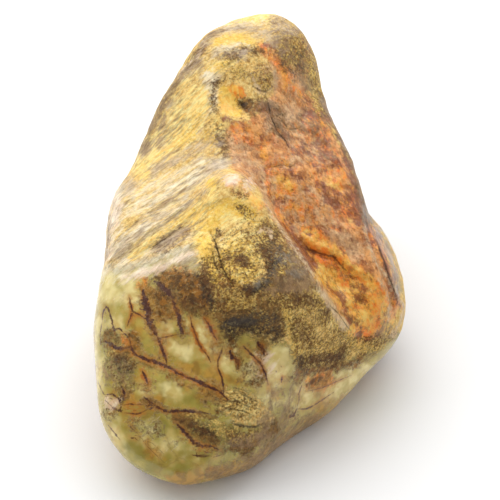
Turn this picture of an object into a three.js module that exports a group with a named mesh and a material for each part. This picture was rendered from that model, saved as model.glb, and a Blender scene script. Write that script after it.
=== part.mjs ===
// A river-worn nephrite pebble, about 89 mm long, lying on a small flat worn underside.
//
// The stone is one solid. It is a block of worn faces that meet in rounded edges, with ridges and
// lumps that stand proud of them, and troughs, hollows and ledges worn into them. Each of those is a
// signed distance field in millimetres, negative inside. The skin lies where the combined field is
// zero along the spokes of an icosphere that start at the heart of the stone.
//
// Frame: millimetres, +Z up, the stone rests on z = 0. +Y runs along its length from the polished
// green nose to the narrow peak, +X to the stone's right, seen from the nose. The finished stone is
// moved so that the middle of its length and width is over the origin.
import * as THREE from "three";
import { mergeVertices } from "three/addons/utils/BufferGeometryUtils.js";

const V = (x, y, z) => new THREE.Vector3(x, y, z);

// Driving sizes.
const HEART = V(-2, 3, 18); // every spoke starts here
const SPOKE_SPREAD = V(30, 44, 27); // half sizes that even out the spokes over the long stone
const SPOKE_DETAIL = 19; // icosphere subdivisions: 20 * (detail + 1)^2 triangles
const LONGEST_SPOKE = 80;

// Worn faces: a point on the face, the way the face looks, and how softly its edges are rounded.
const COMMON_FACES = [
  { name: "underside", at: V(0, 0, -0.8), looks: V(0, 0, -1), edge: 8 },
  { name: "green front", at: V(-26.3, -11.8, 31.2), looks: V(-0.12, -0.65, 0.75), edge: 4.5 },
  { name: "nose", at: V(-13, -49, 10), looks: V(-0.1, -0.97, -0.2), edge: 12 },
  { name: "chin", at: V(-8, -42.9, 1.8), looks: V(0.1, -0.6, -0.8), edge: 10 },
  { name: "nose left corner", at: V(-26.8, -39.5, 12), looks: V(-0.72, -0.66, -0.2), edge: 12 },
  { name: "left flank", at: V(-30.6, -18, 18), looks: V(-1, 0.06, 0), edge: 11 },
  { name: "left undercut", at: V(-25, 0, 3), looks: V(-0.66, 0.05, -0.75), edge: 12 },
  { name: "front right flank", at: V(14.3, -21.7, 4.7), looks: V(0.65, -0.73, 0.2), edge: 6 },
  { name: "right flank", at: V(28.7, 2, 14), looks: V(0.98, 0.18, -0.05), edge: 10 },
  { name: "right undercut", at: V(22, 6, 3.5), looks: V(0.6, 0.1, -0.8), edge: 10 },
  { name: "back left flank", at: V(-24, 22, 20), looks: V(-0.79, 0.61, 0.04), edge: 9 },
  { name: "back", at: V(5, 52, 25), looks: V(0.15, 0.97, 0.15), edge: 13 },
  { name: "back undercut", at: V(2, 40, 6), looks: V(0, 0.55, -0.84), edge: 14 },
];
const BACK_FACES = [
  { name: "yellow left", at: V(-9, 19.5, 44.2), looks: V(-0.38, -0.38, 0.85), edge: 7 },
  { name: "yellow left roll", at: V(-20.1, 29, 40), looks: V(-0.72, -0.2, 0.66), edge: 7 },
  { name: "rusty right", at: V(2.2, 16, 42.3), looks: V(0.46, -0.26, 0.85), edge: 5 },
  { name: "right lip", at: V(20.3, 8, 27), looks: V(0.88, 0.09, 0.42), edge: 5 },
  { name: "crown", at: V(6, 37, 53.4), looks: V(0, 0.3, 0.95), edge: 6 },
];
const FRONT_FACES = [
  { name: "striped shoulder", at: V(-26.3, -11.3, 31.4), looks: V(-0.23, -0.15, 0.96), edge: 4 },
  { name: "back of the shoulder", at: V(-22.5, 12, 33.5), looks: V(-0.55, 0.6, 0.58), edge: 6 },
  { name: "step behind the crest", at: V(3.4, -7, 37), looks: V(0.76, 0.56, 0.25), edge: 4 },
];
const VALLEY = 6; // rounding of the valley between the front of the stone and its back

// Ridges that stand proud of the faces: a chain of points, each with its radius.
const RIDGES = [
  {
    name: "crest",
    chain: [
      [V(-3.4, 0.4, 38), 4],
      [V(-0.2, -2.5, 36.3), 4],
      [V(5.6, -9.4, 30.5), 4],
      [V(9.4, -13, 25.2), 4],
      [V(11.2, -12.6, 19.8), 4],
    ],
    blend: 5,
  },
  {
    name: "right lip",
    chain: [
      [V(9.4, 34.5, 38.6), 3.8],
      [V(17, 13, 30), 3],
      [V(19.8, 3, 26.3), 3.6],
      [V(22.9, -2.5, 21.5), 3.8],
      [V(23.4, -5, 15), 3.8],
    ],
    blend: 5,
  },
];

// Lumps that stand proud of the faces: rounded bodies with half sizes along their own axes.
const LUMPS = [
  { name: "peak", at: V(3.6, 38, 41.6), half: V(8.6, 10, 8.6), blend: 5 },
  { name: "knob", at: V(-1.5, -13, 28), half: V(11, 9, 8.5), blend: 8 },
  { name: "right shoulder", at: V(21.8, 4, 14), half: V(6.8, 14.5, 11), blend: 5 },
];

// Troughs worn into the faces: chains as above.
const TROUGHS = [
  {
    name: "behind the crest",
    chain: [
      [V(1, 10, 46), 6],
      [V(8, 0, 38.3), 6],
      [V(14, -7, 32.8), 6],
      [V(20, -13, 28), 6],
    ],
    blend: 3,
  },
  {
    name: "below the right lip",
    chain: [
      [V(24.7, 11, 30.5), 1.5],
      [V(25, 4.5, 28.8), 2.8],
      [V(25.8, -0.2, 27.8), 2.6],
      [V(26.8, -4.3, 25.7), 2.2],
      [V(28.1, -6.2, 22.1), 1.8],
      [V(29, -6.7, 17.7), 1],
    ],
    blend: 2,
  },
];

// Hollows worn into the faces.
const HOLLOWS = [
  { name: "waist of the left flank", at: V(-33.6, 2, 26), half: V(7.1, 12, 22), blend: 6 },
  { name: "crater", at: V(-2, 19.6, 48.4), half: V(4.8, 4.8, 4.8), blend: 1 },
  { name: "dish in the back", at: V(-6, 64, 28), half: V(14, 15, 14), blend: 8 },
  { name: "scar on the right flank", at: V(39, 26, 16), half: V(15, 13, 12), blend: 8 },
  { name: "scar on the left flank", at: V(-42, 6, 10), half: V(16, 15, 9), blend: 7 },
  { name: "scoop in the front right flank", at: V(16.8, -36, -0.3), half: V(14, 14, 14), blend: 4 },
  { name: "scar on the nose", at: V(-14, -54, 16), half: V(13, 17, 8), blend: 6 },
  { name: "under the knob", at: V(2, -27, 28), half: V(9, 4, 4), blend: 4 },
];

// Ledges: past a line through `at` the skin sinks towards `down` by `depth`, fading out at `reach`.
const LEDGES = [
  { name: "lower rusty ledge", at: V(15, -4.3, 27.2), down: V(-0.49, -0.79, -0.35), depth: 0.7, reach: 8 },
  { name: "upper rusty ledge", at: V(4.2, 17, 42), down: V(0.9, -0.1, -0.4), depth: 0.7, reach: 9 },
  { name: "peak ledge", at: V(8, 30, 47), down: V(0.35, -0.85, -0.4), depth: 0.6, reach: 7 },
  { name: "back ledge", at: V(8, 46, 38), down: V(0.3, 0.3, -0.9), depth: 0.8, reach: 14 },
  { name: "right flank ledge", at: V(25, 22, 12), down: V(0.1, 0.5, -0.86), depth: 0.8, reach: 12 },
];
const LEDGE_WIDTH = 1.6; // how far the skin takes to sink

// Gentle waves of the whole skin: the way each runs, its length and its height.
const WAVES = [
  { along: V(0.8, 0.5, 0.33), length: 37, height: 0.35 },
  { along: V(-0.4, 0.8, 0.45), length: 29, height: 0.3 },
  { along: V(0.5, -0.75, 0.43), length: 21, height: 0.2 },
  { along: V(0.3, 0.65, -0.7), length: 16, height: 0.13 },
];

// How far a point is outside an ellipsoid, near enough close to its skin.
function ellipsoid(point, { at, half }) {
  const scaled = point.clone().sub(at).divide(half);
  const steepness = scaled.clone().divide(half).length();
  const away = scaled.length();
  return steepness < 1e-9 ? -Math.min(half.x, half.y, half.z) : (away * (away - 1)) / steepness;
}

// How far a point is outside a chain of round beads joined by cones.
function beads(point, { chain }) {
  let nearest = Infinity;
  for (let i = 1; i < chain.length; i += 1) {
    const [from, fromRadius] = chain[i - 1];
    const [to, toRadius] = chain[i];
    const along = to.clone().sub(from);
    const share = THREE.MathUtils.clamp(
      point.clone().sub(from).dot(along) / along.lengthSq(), 0, 1);
    const away = point.distanceTo(along.multiplyScalar(share).add(from));
    nearest = Math.min(nearest, away - THREE.MathUtils.lerp(fromRadius, toRadius, share));
  }
  return nearest;
}

// How far a ledge sinks the skin at a point.
function ledgeDrop(point, { at, down, depth, reach }) {
  const from = point.clone().sub(at);
  const fade = Math.max(1 - from.lengthSq() / reach ** 2, 0);
  return depth * fade * THREE.MathUtils.smoothstep(from.dot(down), 0, LEDGE_WIDTH);
}

// The larger of two fields, with the crease between them rounded over `width`.
function roundedMax(a, b, width) {
  const overlap = Math.max(width - Math.abs(a - b), 0) / width;
  return Math.max(a, b) + (overlap * overlap * width) / 4;
}

const roundedMin = (a, b, width) => -roundedMax(-a, -b, width);

// The block that a set of faces cuts out.
function block(point, faces) {
  let field = -1e3;
  for (const { at, looks, edge } of faces)
    field = roundedMax(field, point.clone().sub(at).dot(looks) / looks.length(), edge);
  return field;
}

// Signed distance to the whole stone.
function stone(point) {
  const roof = roundedMin(block(point, BACK_FACES), block(point, FRONT_FACES), VALLEY);
  let field = roundedMax(block(point, COMMON_FACES), roof, 5);
  for (const trough of TROUGHS) field = roundedMax(field, -beads(point, trough), trough.blend);
  for (const ridge of RIDGES) field = roundedMin(field, beads(point, ridge), ridge.blend);
  for (const lump of LUMPS) field = roundedMin(field, ellipsoid(point, lump), lump.blend);
  for (const hollow of HOLLOWS) field = roundedMax(field, -ellipsoid(point, hollow), hollow.blend);
  for (const ledge of LEDGES) field += ledgeDrop(point, ledge);
  for (const { along, length, height } of WAVES)
    field += height * Math.sin((2 * Math.PI * point.dot(along)) / length);
  return field;
}

// The outermost point of the stone along a spoke from its heart.
function skinAlong(spoke) {
  let inside = 0;
  let outside = LONGEST_SPOKE;
  for (let step = 0; step < 30; step += 1) {
    const middle = (inside + outside) / 2;
    if (stone(HEART.clone().addScaledVector(spoke, middle)) < 0) inside = middle;
    else outside = middle;
  }
  return HEART.clone().addScaledVector(spoke, inside);
}

function stoneGeometry() {
  const sphere = new THREE.IcosahedronGeometry(1, SPOKE_DETAIL);
  sphere.deleteAttribute("normal");
  sphere.deleteAttribute("uv");
  const geometry = mergeVertices(sphere);
  const position = geometry.getAttribute("position");
  for (let i = 0; i < position.count; i += 1) {
    const spoke = V().fromBufferAttribute(position, i).multiply(SPOKE_SPREAD).normalize();
    const skin = skinAlong(spoke);
    position.setXYZ(i, skin.x, skin.y, Math.max(skin.z, 0));
  }
  geometry.computeBoundingBox();
  const middle = geometry.boundingBox.getCenter(V());
  geometry.translate(-middle.x, -middle.y, 0);
  geometry.computeVertexNormals();
  return geometry;
}

const stoneMaterial = new THREE.MeshStandardMaterial({ color: 0xa58a4e, roughness: 0.45, metalness: 0 });
const pebble = new THREE.Mesh(stoneGeometry(), stoneMaterial);
pebble.name = "nephrite_pebble";

const group = new THREE.Group();
group.add(pebble);
export default group;
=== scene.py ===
"""A river-worn nephrite pebble on a pale studio floor.

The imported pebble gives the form. A finer skin is made from it, carved with cracks, ledges, pits and
crust, and painted with layers of mineral colour. Marks are named by where they show in a 500 px
picture taken by the camera below, and are carried onto the skin from there. What that picture
doesn't show is continued round the stone with patches of the same kinds.

Lengths are in metres unless a name or a comment says px (picture pixels) or mm.
"""
import math
from typing import NamedTuple

import bmesh
import bpy
import numpy as np
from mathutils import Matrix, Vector, noise
from mathutils.bvhtree import BVHTree
from mathutils.kdtree import KDTree


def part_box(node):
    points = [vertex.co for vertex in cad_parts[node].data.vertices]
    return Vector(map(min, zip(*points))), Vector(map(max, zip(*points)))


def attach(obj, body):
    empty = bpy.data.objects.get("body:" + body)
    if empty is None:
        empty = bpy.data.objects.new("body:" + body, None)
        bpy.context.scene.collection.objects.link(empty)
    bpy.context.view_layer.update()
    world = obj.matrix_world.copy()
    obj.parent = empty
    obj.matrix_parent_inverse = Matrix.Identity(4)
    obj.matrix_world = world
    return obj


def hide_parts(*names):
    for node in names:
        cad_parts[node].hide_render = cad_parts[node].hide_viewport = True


# The camera and its picture.
PICTURE = 500  # px, the side of the picture
SENSOR_MM = 36.0
LENS_MM = 155.52
ELEVATION = math.radians(40)
DISTANCE = 0.4
AIM = Vector((-0.000585, -0.005722, 0.0265))
BACK = Vector((0, -math.cos(ELEVATION), math.sin(ELEVATION)))
UP = Vector((0, math.sin(ELEVATION), math.cos(ELEVATION)))
EYE = AIM + DISTANCE * BACK
FOCAL = PICTURE * LENS_MM / SENSOR_MM  # px
PX_PER_M = FOCAL / DISTANCE  # how large a metre shows, near the aim

# The studio.
ROOM_LIGHT = 0.55  # the even light's strength
KEY_LIGHT = {"place": (-0.12, 0.38, 0.62), "size": (1.5, 0.7), "watts": 8.2}
MIRRORED = (0.05, 1.0)  # how bright the room is in the polish, on the camera's side and behind the stone
FLOOR_HALF = 3
FLOOR_TONES = ((0.93, 0.93, 0.93, 1), (0.95, 0.95, 0.945, 1))
NEAR_CLIP = 0.01

# The fine skin.
FINENESS = 2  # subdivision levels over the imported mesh
WELD = 1e-6  # corners nearer than this are one
MARGIN = 1e-5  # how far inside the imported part's box the skin stays
MM = 1000  # in a metre
TINY = 1e-12  # keeps a division from failing

# How the picture is carried onto the skin.
NONE = 1.6  # how empty a place is where a layer doesn't show at all
FRAYED = 0.5  # how empty a place may be and still hold some flecks of a layer
PATCHY = 1.6  # how strongly noise makes patches where the picture doesn't reach
CORE = 0.3  # the share of a spot, round its middle, that is simply deep
BARELY_FACING = 0.12  # skin turned away more than this takes its marks from skin nearby
LIFT = 3e-4  # a line of sight starts this far above the skin
CARRY = 0.006  # how far marks are carried onto skin that the picture doesn't show
TRACE_PX = 1.5  # a line is traced in steps of about this length
LEAP = 0.004  # a longer step would leap from one fold of the stone to another
TIP = 0.35  # how wide a line is at its ends
TAPER = 2.5  # how fast it widens from there, per length of the line
ZONE_EDGE = 8  # px
# Where patterns run long in one direction: from here to there in px, and so many times as long.
LANES = {"shoulder": ((106, 268), (204, 191), 4.2), "rusty": ((290, 130), (360, 260), 1.5)}
ZONES = {
    "shoulder": [(100, 274), (150, 262), (190, 244), (210, 208), (220, 186), (210, 160), (176, 168),
                 (140, 184), (112, 200), (90, 240)],
    "rusty": [(240, 121), (272, 92), (258, 50), (298, 78), (336, 132), (362, 200), (398, 286), (401, 306),
              (380, 336), (350, 340), (317, 284), (276, 218), (244, 176), (226, 148)],
}

# Lines of colour: name, points in px, half width in px, how strong they or their halos are.
VEINS = [
    ("loop by the left edge", [
        (102, 323), (103, 312), (106, 307), (108, 308), (110, 314), (112, 321), (114, 330), (119, 328),
        (124, 333), (129, 338)], 0.9, 0.2),
    ("loop's left leg", [(102, 323), (100, 333), (101, 345)], 0.7, 0.1),
    ("trunk vein", [
        (129, 338), (131, 345), (133, 353), (140, 357), (151, 361), (157, 363), (166, 366), (176, 372),
        (186, 377), (195, 380), (205, 385), (214, 389), (220, 392), (228, 400)], 1.5, 1),
    ("trunk vein's left end", [(105, 341), (116, 348), (123, 349), (131, 347)], 1.4, 0.4),
    ("broad brown vein", [
        (143, 291), (145, 301), (148, 311), (148, 319), (152, 327), (157, 336)], 3.2, 0.9),
    ("broad vein's foot", [(157, 336), (160, 343), (163, 352), (166, 359), (167, 365)], 1.2, 0.8),
    ("orange thread", [(129, 297), (131, 305), (132, 312), (129, 321), (127, 326)], 0.8, 1),
    ("orange link", [(132, 311), (140, 315), (147, 320)], 0.8, 0.8),
    ("second brown vein", [(173, 299), (175, 308), (179, 316), (180, 325), (183, 334)], 2.2, 0.7),
    ("smear over the second vein", [(155, 281), (161, 285), (167, 290), (173, 299)], 2.4, 0.2),
    ("amber vein", [(190, 316), (192, 325), (196, 336), (200, 346), (206, 354), (211, 362)], 0.8, 1.1),
    ("curved vein", [
        (223, 346), (221, 353), (218, 360), (218, 368), (222, 378), (223, 384), (224, 393)], 0.9, 0.5),
    ("faint cross vein", [(160, 338), (170, 336), (180, 334)], 0.4, 0.5),
    ("fork", [(142, 371), (146, 378), (148, 385)], 1, 1.2),
    ("left hanging vein", [(122, 387), (124, 393), (123, 402)], 1.2, 0.3),
    ("lower seam", [
        (144, 397), (151, 402), (155, 406), (167, 412), (176, 411), (186, 411), (199, 412),
        (211, 414)], 1.2, 0.5),
    ("lower seam's left thread", [(123, 405), (130, 404), (144, 405)], 0.5, 0.8),
    ("lower arc", [(124, 413), (138, 414), (147, 410)], 0.5, 0.8),
    ("swirl", [
        (105, 395), (112, 394), (118, 398), (122, 406), (119, 411), (112, 407), (105, 400)], 0.9, 0.3),
    ("ring", [(148, 406), (151, 405), (153, 408), (150, 410), (148, 408)], 0.6, 0.4),
    ("flank streak", [(108, 425), (113, 431), (120, 440)], 0.9, 0.2),
    ("flank streak above", [(98, 382), (101, 389), (105, 396)], 0.6, 0.1),
    ("flank streak left", [(94, 330), (95, 345), (93, 358)], 0.7, 0.1),
    ("chin streak", [(131, 438), (135, 438), (139, 441)], 0.6, 0.4),
    ("chin dash", [(192, 455), (200, 456), (209, 456)], 1, 0.3),
    ("chin dash right", [(214, 457), (221, 455)], 0.6, 0.3),
    ("bottom dash", [(207, 469), (215, 469)], 0.8, 0.3),
    ("golden arc", [(128, 425), (138, 434), (147, 446), (157, 456), (166, 464)], 0.2, 0.25),
    ("golden arc beside", [(139, 437), (152, 443), (165, 455)], 0.2, 0.15),
    ("keel vein", [(302, 385), (299, 393), (299, 401), (297, 408)], 0.7, 0.3),
    ("keel branch", [(297, 409), (306, 409), (313, 406), (322, 400), (334, 392)], 0.8, 0.4),
    ("keel blot", [(290, 417), (294, 415), (297, 409)], 1.8, 0.5),
    ("blotch string", [(230, 351), (232, 357), (238, 361), (238, 369)], 1.6, 0.9),
    ("blotch string right", [(258, 343), (263, 349), (264, 356)], 2, 0.8),
    ("thread to the wavy crust", [(243, 346), (252, 355), (260, 363), (266, 375), (268, 384)], 0.9, 0.8),
    ("glass specks", [(281, 366), (281.5, 367)], 1, 0.6),
    ("glass specks lower", [(276, 371), (276.5, 372)], 1, 0.5),
    ("glass specks lowest", [(282, 378), (281.5, 382)], 1.1, 0.7),
    ("cluster's lower fringe", [
        (177, 424), (186, 434), (193, 442), (202, 446), (211, 446), (219, 450)], 1.6, 0.8),
    ("edge of the dark hollow", [(205, 319), (212, 331), (217, 341)], 1.2, 1.6),
    ("pale patch's lower seam", [(309, 391), (322, 388), (338, 381), (352, 375)], 0.4, 0.6),
]
# Cracks; two of these lines are painted shadow: under the tan rim and under the rusty ledge.
CRACKS = [
    ("knob crack", [(210, 232), (216, 244), (219, 255), (222, 267), (227, 276), (233, 286)], 0.7, 0.9),
    ("knob crack beside", [(212, 247), (214, 262), (218, 271), (225, 276)], 0.6, 0.7),
    ("knob crack link", [(214, 262), (219, 260)], 0.5, 0.5),
    ("rusty crack", [(266, 96), (271, 117), (277, 131), (286, 142), (293, 155)], 0.6, 0.8),
    ("rusty cross crack", [(267, 168), (274, 167), (282, 165), (291, 167), (299, 162)], 0.5, 0.45),
    # Painted shadow line under the overhanging ledge.
    ("rusty ledge foot", [
        (301, 240), (309, 250), (322, 254), (334, 257), (343, 268), (354, 276)], 0.8, 0.6),
    ("beige patch foot", [(284, 128), (292, 130), (300, 128), (305, 124)], 0.7, 0.5),
    ("tan rim's shadow", [(253, 86), (260, 91), (266, 92), (272, 88)], 0.8, 0.6),
    ("crater's left wall", [(228, 78), (219, 83), (213, 90), (212, 98), (213, 105), (218, 113)], 0.8, 0.2),
    ("crater's dark corner", [(238, 100), (242, 104), (245, 109), (250, 106)], 1.2, 0.8),
    ("peak band", [(208, 33), (222, 29), (238, 27), (250, 31), (258, 36)], 1.4, 0.15),
    ("peak second band", [(213, 59), (224, 56), (236, 52), (248, 47), (258, 44)], 1.2, 0.25),
    ("peak third band", [(222, 69), (232, 62), (243, 57)], 1.1, 0.35),
    ("lip groove", [(374, 232), (380, 250), (385, 264), (389, 277), (394, 290), (398, 303)], 1.1, 0.75),
    ("step under the crest", [(330, 306), (338, 313), (346, 325), (352, 332)], 0.9, 0.7),
    ("smooth band's scratch", [(281, 279), (286, 276), (291, 273)], 0.5, 0.3),
    ("right scratch", [(293, 238), (296, 243), (300, 247)], 0.4, 0.2),
    ("wavy seam", [(232, 423), (243, 426), (254, 427), (264, 423)], 1.2, 0.8),
    ("wavy seam above", [(226, 414), (238, 417), (250, 415)], 0.8, 0.5),
    ("first wave", [(220, 390), (230, 394), (240, 393), (250, 398), (260, 403)], 0.7, 0.6),
    ("second wave", [(214, 397), (226, 401), (238, 402), (248, 406), (262, 410)], 0.7, 0.6),
    ("third wave", [(218, 405), (230, 409), (244, 411), (258, 418)], 0.7, 0.6),
    ("fourth wave", [(232, 387), (242, 390), (250, 392)], 0.6, 0.5),
    ("shoulder fold", [(146, 250), (160, 243), (176, 231), (190, 222)], 0.6, 0.4),
]

# Relief: name, points in px, half width in mm, rise in mm.
RIDGES = [
    ("keel below the ridge", [
        (294, 356), (292, 376), (286, 389), (284, 404), (276, 417), (258, 436)], 1.3, 0.25),
    ("granular ridge", [(286, 300), (289, 318), (293, 338), (297, 354)], 1.1, 0.3),
    ("crest", [
        (268, 204), (276, 220), (290, 241), (305, 260), (316, 277), (322, 290), (330, 306)], 1.2, 0.22),
    ("crest's foot", [(338, 315), (348, 331), (354, 344)], 0.9, 0.3),
    ("crest's head", [(222, 182), (229, 177), (238, 174), (247, 178), (254, 183), (264, 198)], 1.2, 0.2),
    ("tan rim", [(250, 74), (259, 78), (268, 80), (274, 74)], 0.9, 0.35),
    ("crater's rim", [
        (228, 76), (240, 72), (252, 76), (262, 88), (262, 102), (254, 114), (240, 122), (225, 119),
        (216, 110)], 0.8, 0.35),
    ("lip", [(364, 225), (370, 246), (380, 267), (392, 287), (402, 300)], 0.9, 0.3),
    ("upper lip", [(322, 94), (334, 118), (348, 152), (358, 186), (364, 222)], 0.9, 0.15),
    ("ledge's top", [(303, 236), (312, 244), (324, 248), (338, 252), (349, 263), (360, 272)], 0.9, 0.4),
    ("orange flow", [(310, 120), (320, 134), (328, 146), (336, 158), (345, 176)], 0.8, 0.32),
    ("wavy crust, upper", [(224, 398), (232, 392), (240, 396), (248, 404), (258, 408)], 0.5, 0.22),
    ("wavy crust, middle", [(222, 408), (232, 404), (241, 409), (250, 415), (258, 416)], 0.5, 0.22),
    ("wavy crust, lower", [(224, 418), (234, 418), (246, 422), (256, 421)], 0.5, 0.22),
    ("pale ridge over the nose", [(106, 268), (126, 265), (151, 256), (178, 247), (194, 243)], 1, 0.2),
    ("golden shoulder ridge", [(142, 250), (170, 227), (193, 209), (215, 199)], 0.9, 0.25),
    ("long shoulder ridge", [(108, 262), (130, 245), (160, 222), (186, 203), (204, 191)], 0.7, 0.15),
    ("edge of the hollow", [(206, 318), (214, 330), (223, 341), (238, 350)], 0.8, 0.15),
    ("smoky knob ledge", [(248, 292), (258, 286), (270, 280), (282, 277)], 0.9, 0.25),
]
GROOVES = [
    ("ledge's foot", [(301, 242), (309, 251), (322, 256), (334, 259), (343, 270), (354, 278)], 0.5, -0.35),
    ("crater's moat", [(228, 80), (219, 85), (213, 92), (212, 102), (217, 112)], 0.5, -0.35),
    ("under the pale ridge", [(120, 274), (150, 266), (178, 256), (194, 252)], 0.5, -0.12),
    ("wavy seam", [(232, 423), (243, 427), (254, 428), (264, 424)], 0.4, -0.3),
    ("trunk vein", [
        (128, 338), (131, 345), (133, 353), (140, 357), (151, 361), (166, 366), (186, 377), (205, 385),
        (220, 392)], 0.35, -0.1),
    ("keel's dark side", [(299, 360), (298, 376), (293, 390), (291, 404), (284, 416)], 0.6, -0.15),
]
# Cracks that are carved as well: half width and rise, in mm.
CARVED = {
    "knob crack": (0.35, -0.4),
    "knob crack beside": (0.3, -0.25),
    "rusty crack": (0.35, -0.3),
    "rusty cross crack": (0.35, -0.3),
    "lip groove": (0.9, -0.9),
    "peak band": (0.5, -0.2),
    "peak second band": (0.5, -0.2),
    "shoulder fold": (0.5, -0.2),
}
# Lumps and pits: name, place in px, radius in mm, rise in mm.
LUMPS = [
    ("peak's left flank", (164, 104), 6, 0.8),
    ("peak's left flank, low", (148, 140), 4, 0.3),
    ("peak's crown", (244, 20), 7, -1.1),
    ("right bulge", (402, 300), 11, -0.9),
    ("right bulge's head", (384, 238), 7, -0.8),
    ("crater's bowl", (229, 101), 2.2, -0.25),
    ("crater's lump", (237, 89), 1.2, 0.6),
    ("crater's corner", (241, 105), 0.8, -0.5),
    ("hole in the rusty face", (362, 301), 1.2, -0.8),
    ("hollow under the knob", (243, 323), 3.2, -1.2),
    ("bump's top", (232, 184), 1.6, 0.25),
    ("orange bump", (253, 199), 1.3, 0.3),
    ("knob's top", (213, 214), 2, 0.35),
    ("knob's side", (240, 236), 2.4, 0.35),
    ("knob's front", (228, 296), 2.2, 0.3),
    ("knob's dip", (224, 238), 1.2, -0.25),
    ("knob's lower dip", (246, 262), 1.8, -0.3),
    ("tan lobe", (263, 79), 1.7, 0.4),
    ("beige plate", (290, 121), 2.4, 0.35),
    ("dip under the beige plate", (284, 146), 1.6, -0.25),
    ("orange lump", (288, 184), 1.6, 0.3),
    ("upper orange lump", (266, 154), 1.4, 0.25),
    ("lump under the crater", (250, 124), 1.6, 0.3),
    ("lump right of the crater", (264, 116), 1.4, 0.25),
    ("lump at the face's foot", (362, 322), 2.2, 0.3),
    ("lump under the ledge", (322, 272), 1.8, 0.25),
    ("dip by the crest", (300, 214), 1.8, -0.25),
    ("grey plate", (340, 234), 2, 0.15),
    ("crust knot", (372, 332), 1.6, 0.25),
    ("crust dip", (345, 350), 1.8, -0.25),
    ("wavy crust", (240, 406), 2.6, 0.2),
    ("peak dip", (286, 50), 1.6, -0.3),
]
# Unevenness in the zones: whose, and size and rise in mm.
ZONE_SWELLS = [("rusty", 2.6, 0.28), ("rusty", 1.2, 0.14), ("shoulder", 1.3, 0.10)]
# Unevenness all over: size in mm, rise in mm, how much more of it there is in crust.
SWELLS = [(9.0, 0.16, 0.5), (3.6, 0.07, 1.6), (1.7, 0.02, 5.0)]
FLAT_UNDER = (0.0003, 0.0018)  # the relief fades out between these heights, so that the base stays flat
CRUSTY = ("crust", "gold", "umber", "plum")


def gap_to_lines(points, starts, ends):
    """How far each point is from the nearest of some straight lines."""
    nearest = np.full(len(points), 1e9)
    for start, end in zip(starts, ends):
        side = np.subtract(end, start)
        away = points - start
        share = np.clip(away @ side / max(side @ side, TINY), 0, 1)
        nearest = np.minimum(nearest, np.linalg.norm(away - share[:, None] * side, axis=1))
    return nearest


class Mark(NamedTuple):
    """A place in the picture where a mineral shows."""
    name: str
    fill: float  # how much of its inside is covered: -0.5 leaves a few flecks, 0 is half of it, 1 is all
    depth: object  # tells how far inside it places in px are
    edge: float  # px over which it fades, or None where the layer says


def spot(name, x, y, half_length, half_width, turn, fill, edge=None):
    """An ellipse in the picture, turned by degrees from the right towards the bottom."""
    cos, sin = math.cos(math.radians(turn)), math.sin(math.radians(turn))
    deepest = (1 - CORE) * min(half_length, half_width)

    def depth(px):
        along = (px[:, 0] - x) * cos + (px[:, 1] - y) * sin
        across = (px[:, 1] - y) * cos - (px[:, 0] - x) * sin
        reach = np.hypot(along / half_length, across / half_width)
        slope = np.hypot(along / half_length ** 2, across / half_width ** 2)
        inside = reach * (1 - reach) / np.maximum(slope, TINY)
        return np.where(reach < CORE, deepest, inside)

    return Mark(name, fill, depth, edge)


def stroke(name, corners, half_width, fill, edge=None):
    """A brush stroke along points in the picture."""
    return Mark(name, fill, lambda px: half_width - gap_to_lines(px, corners, corners[1:]), edge)


def depth_in(outline, px):
    """How far places in the picture are inside an outline, or outside it if below 0."""
    ends = outline[1:] + outline[:1]
    inside = np.zeros(len(px), bool)
    for (ax, ay), (bx, by) in zip(outline, ends):
        crosses = (px[:, 1] < ay) != (px[:, 1] < by)
        rise = np.where(crosses, (px[:, 1] - ay) / ((by - ay) or 1), 0)
        inside ^= crosses & (px[:, 0] < ax + rise * (bx - ax))
    rim = gap_to_lines(px, outline, ends)
    return np.where(inside, rim, -rim)


def area(name, outline, fill, edge=None):
    """The inside of an outline in the picture."""
    return Mark(name, fill, lambda px: depth_in(outline, px), edge)


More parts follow.
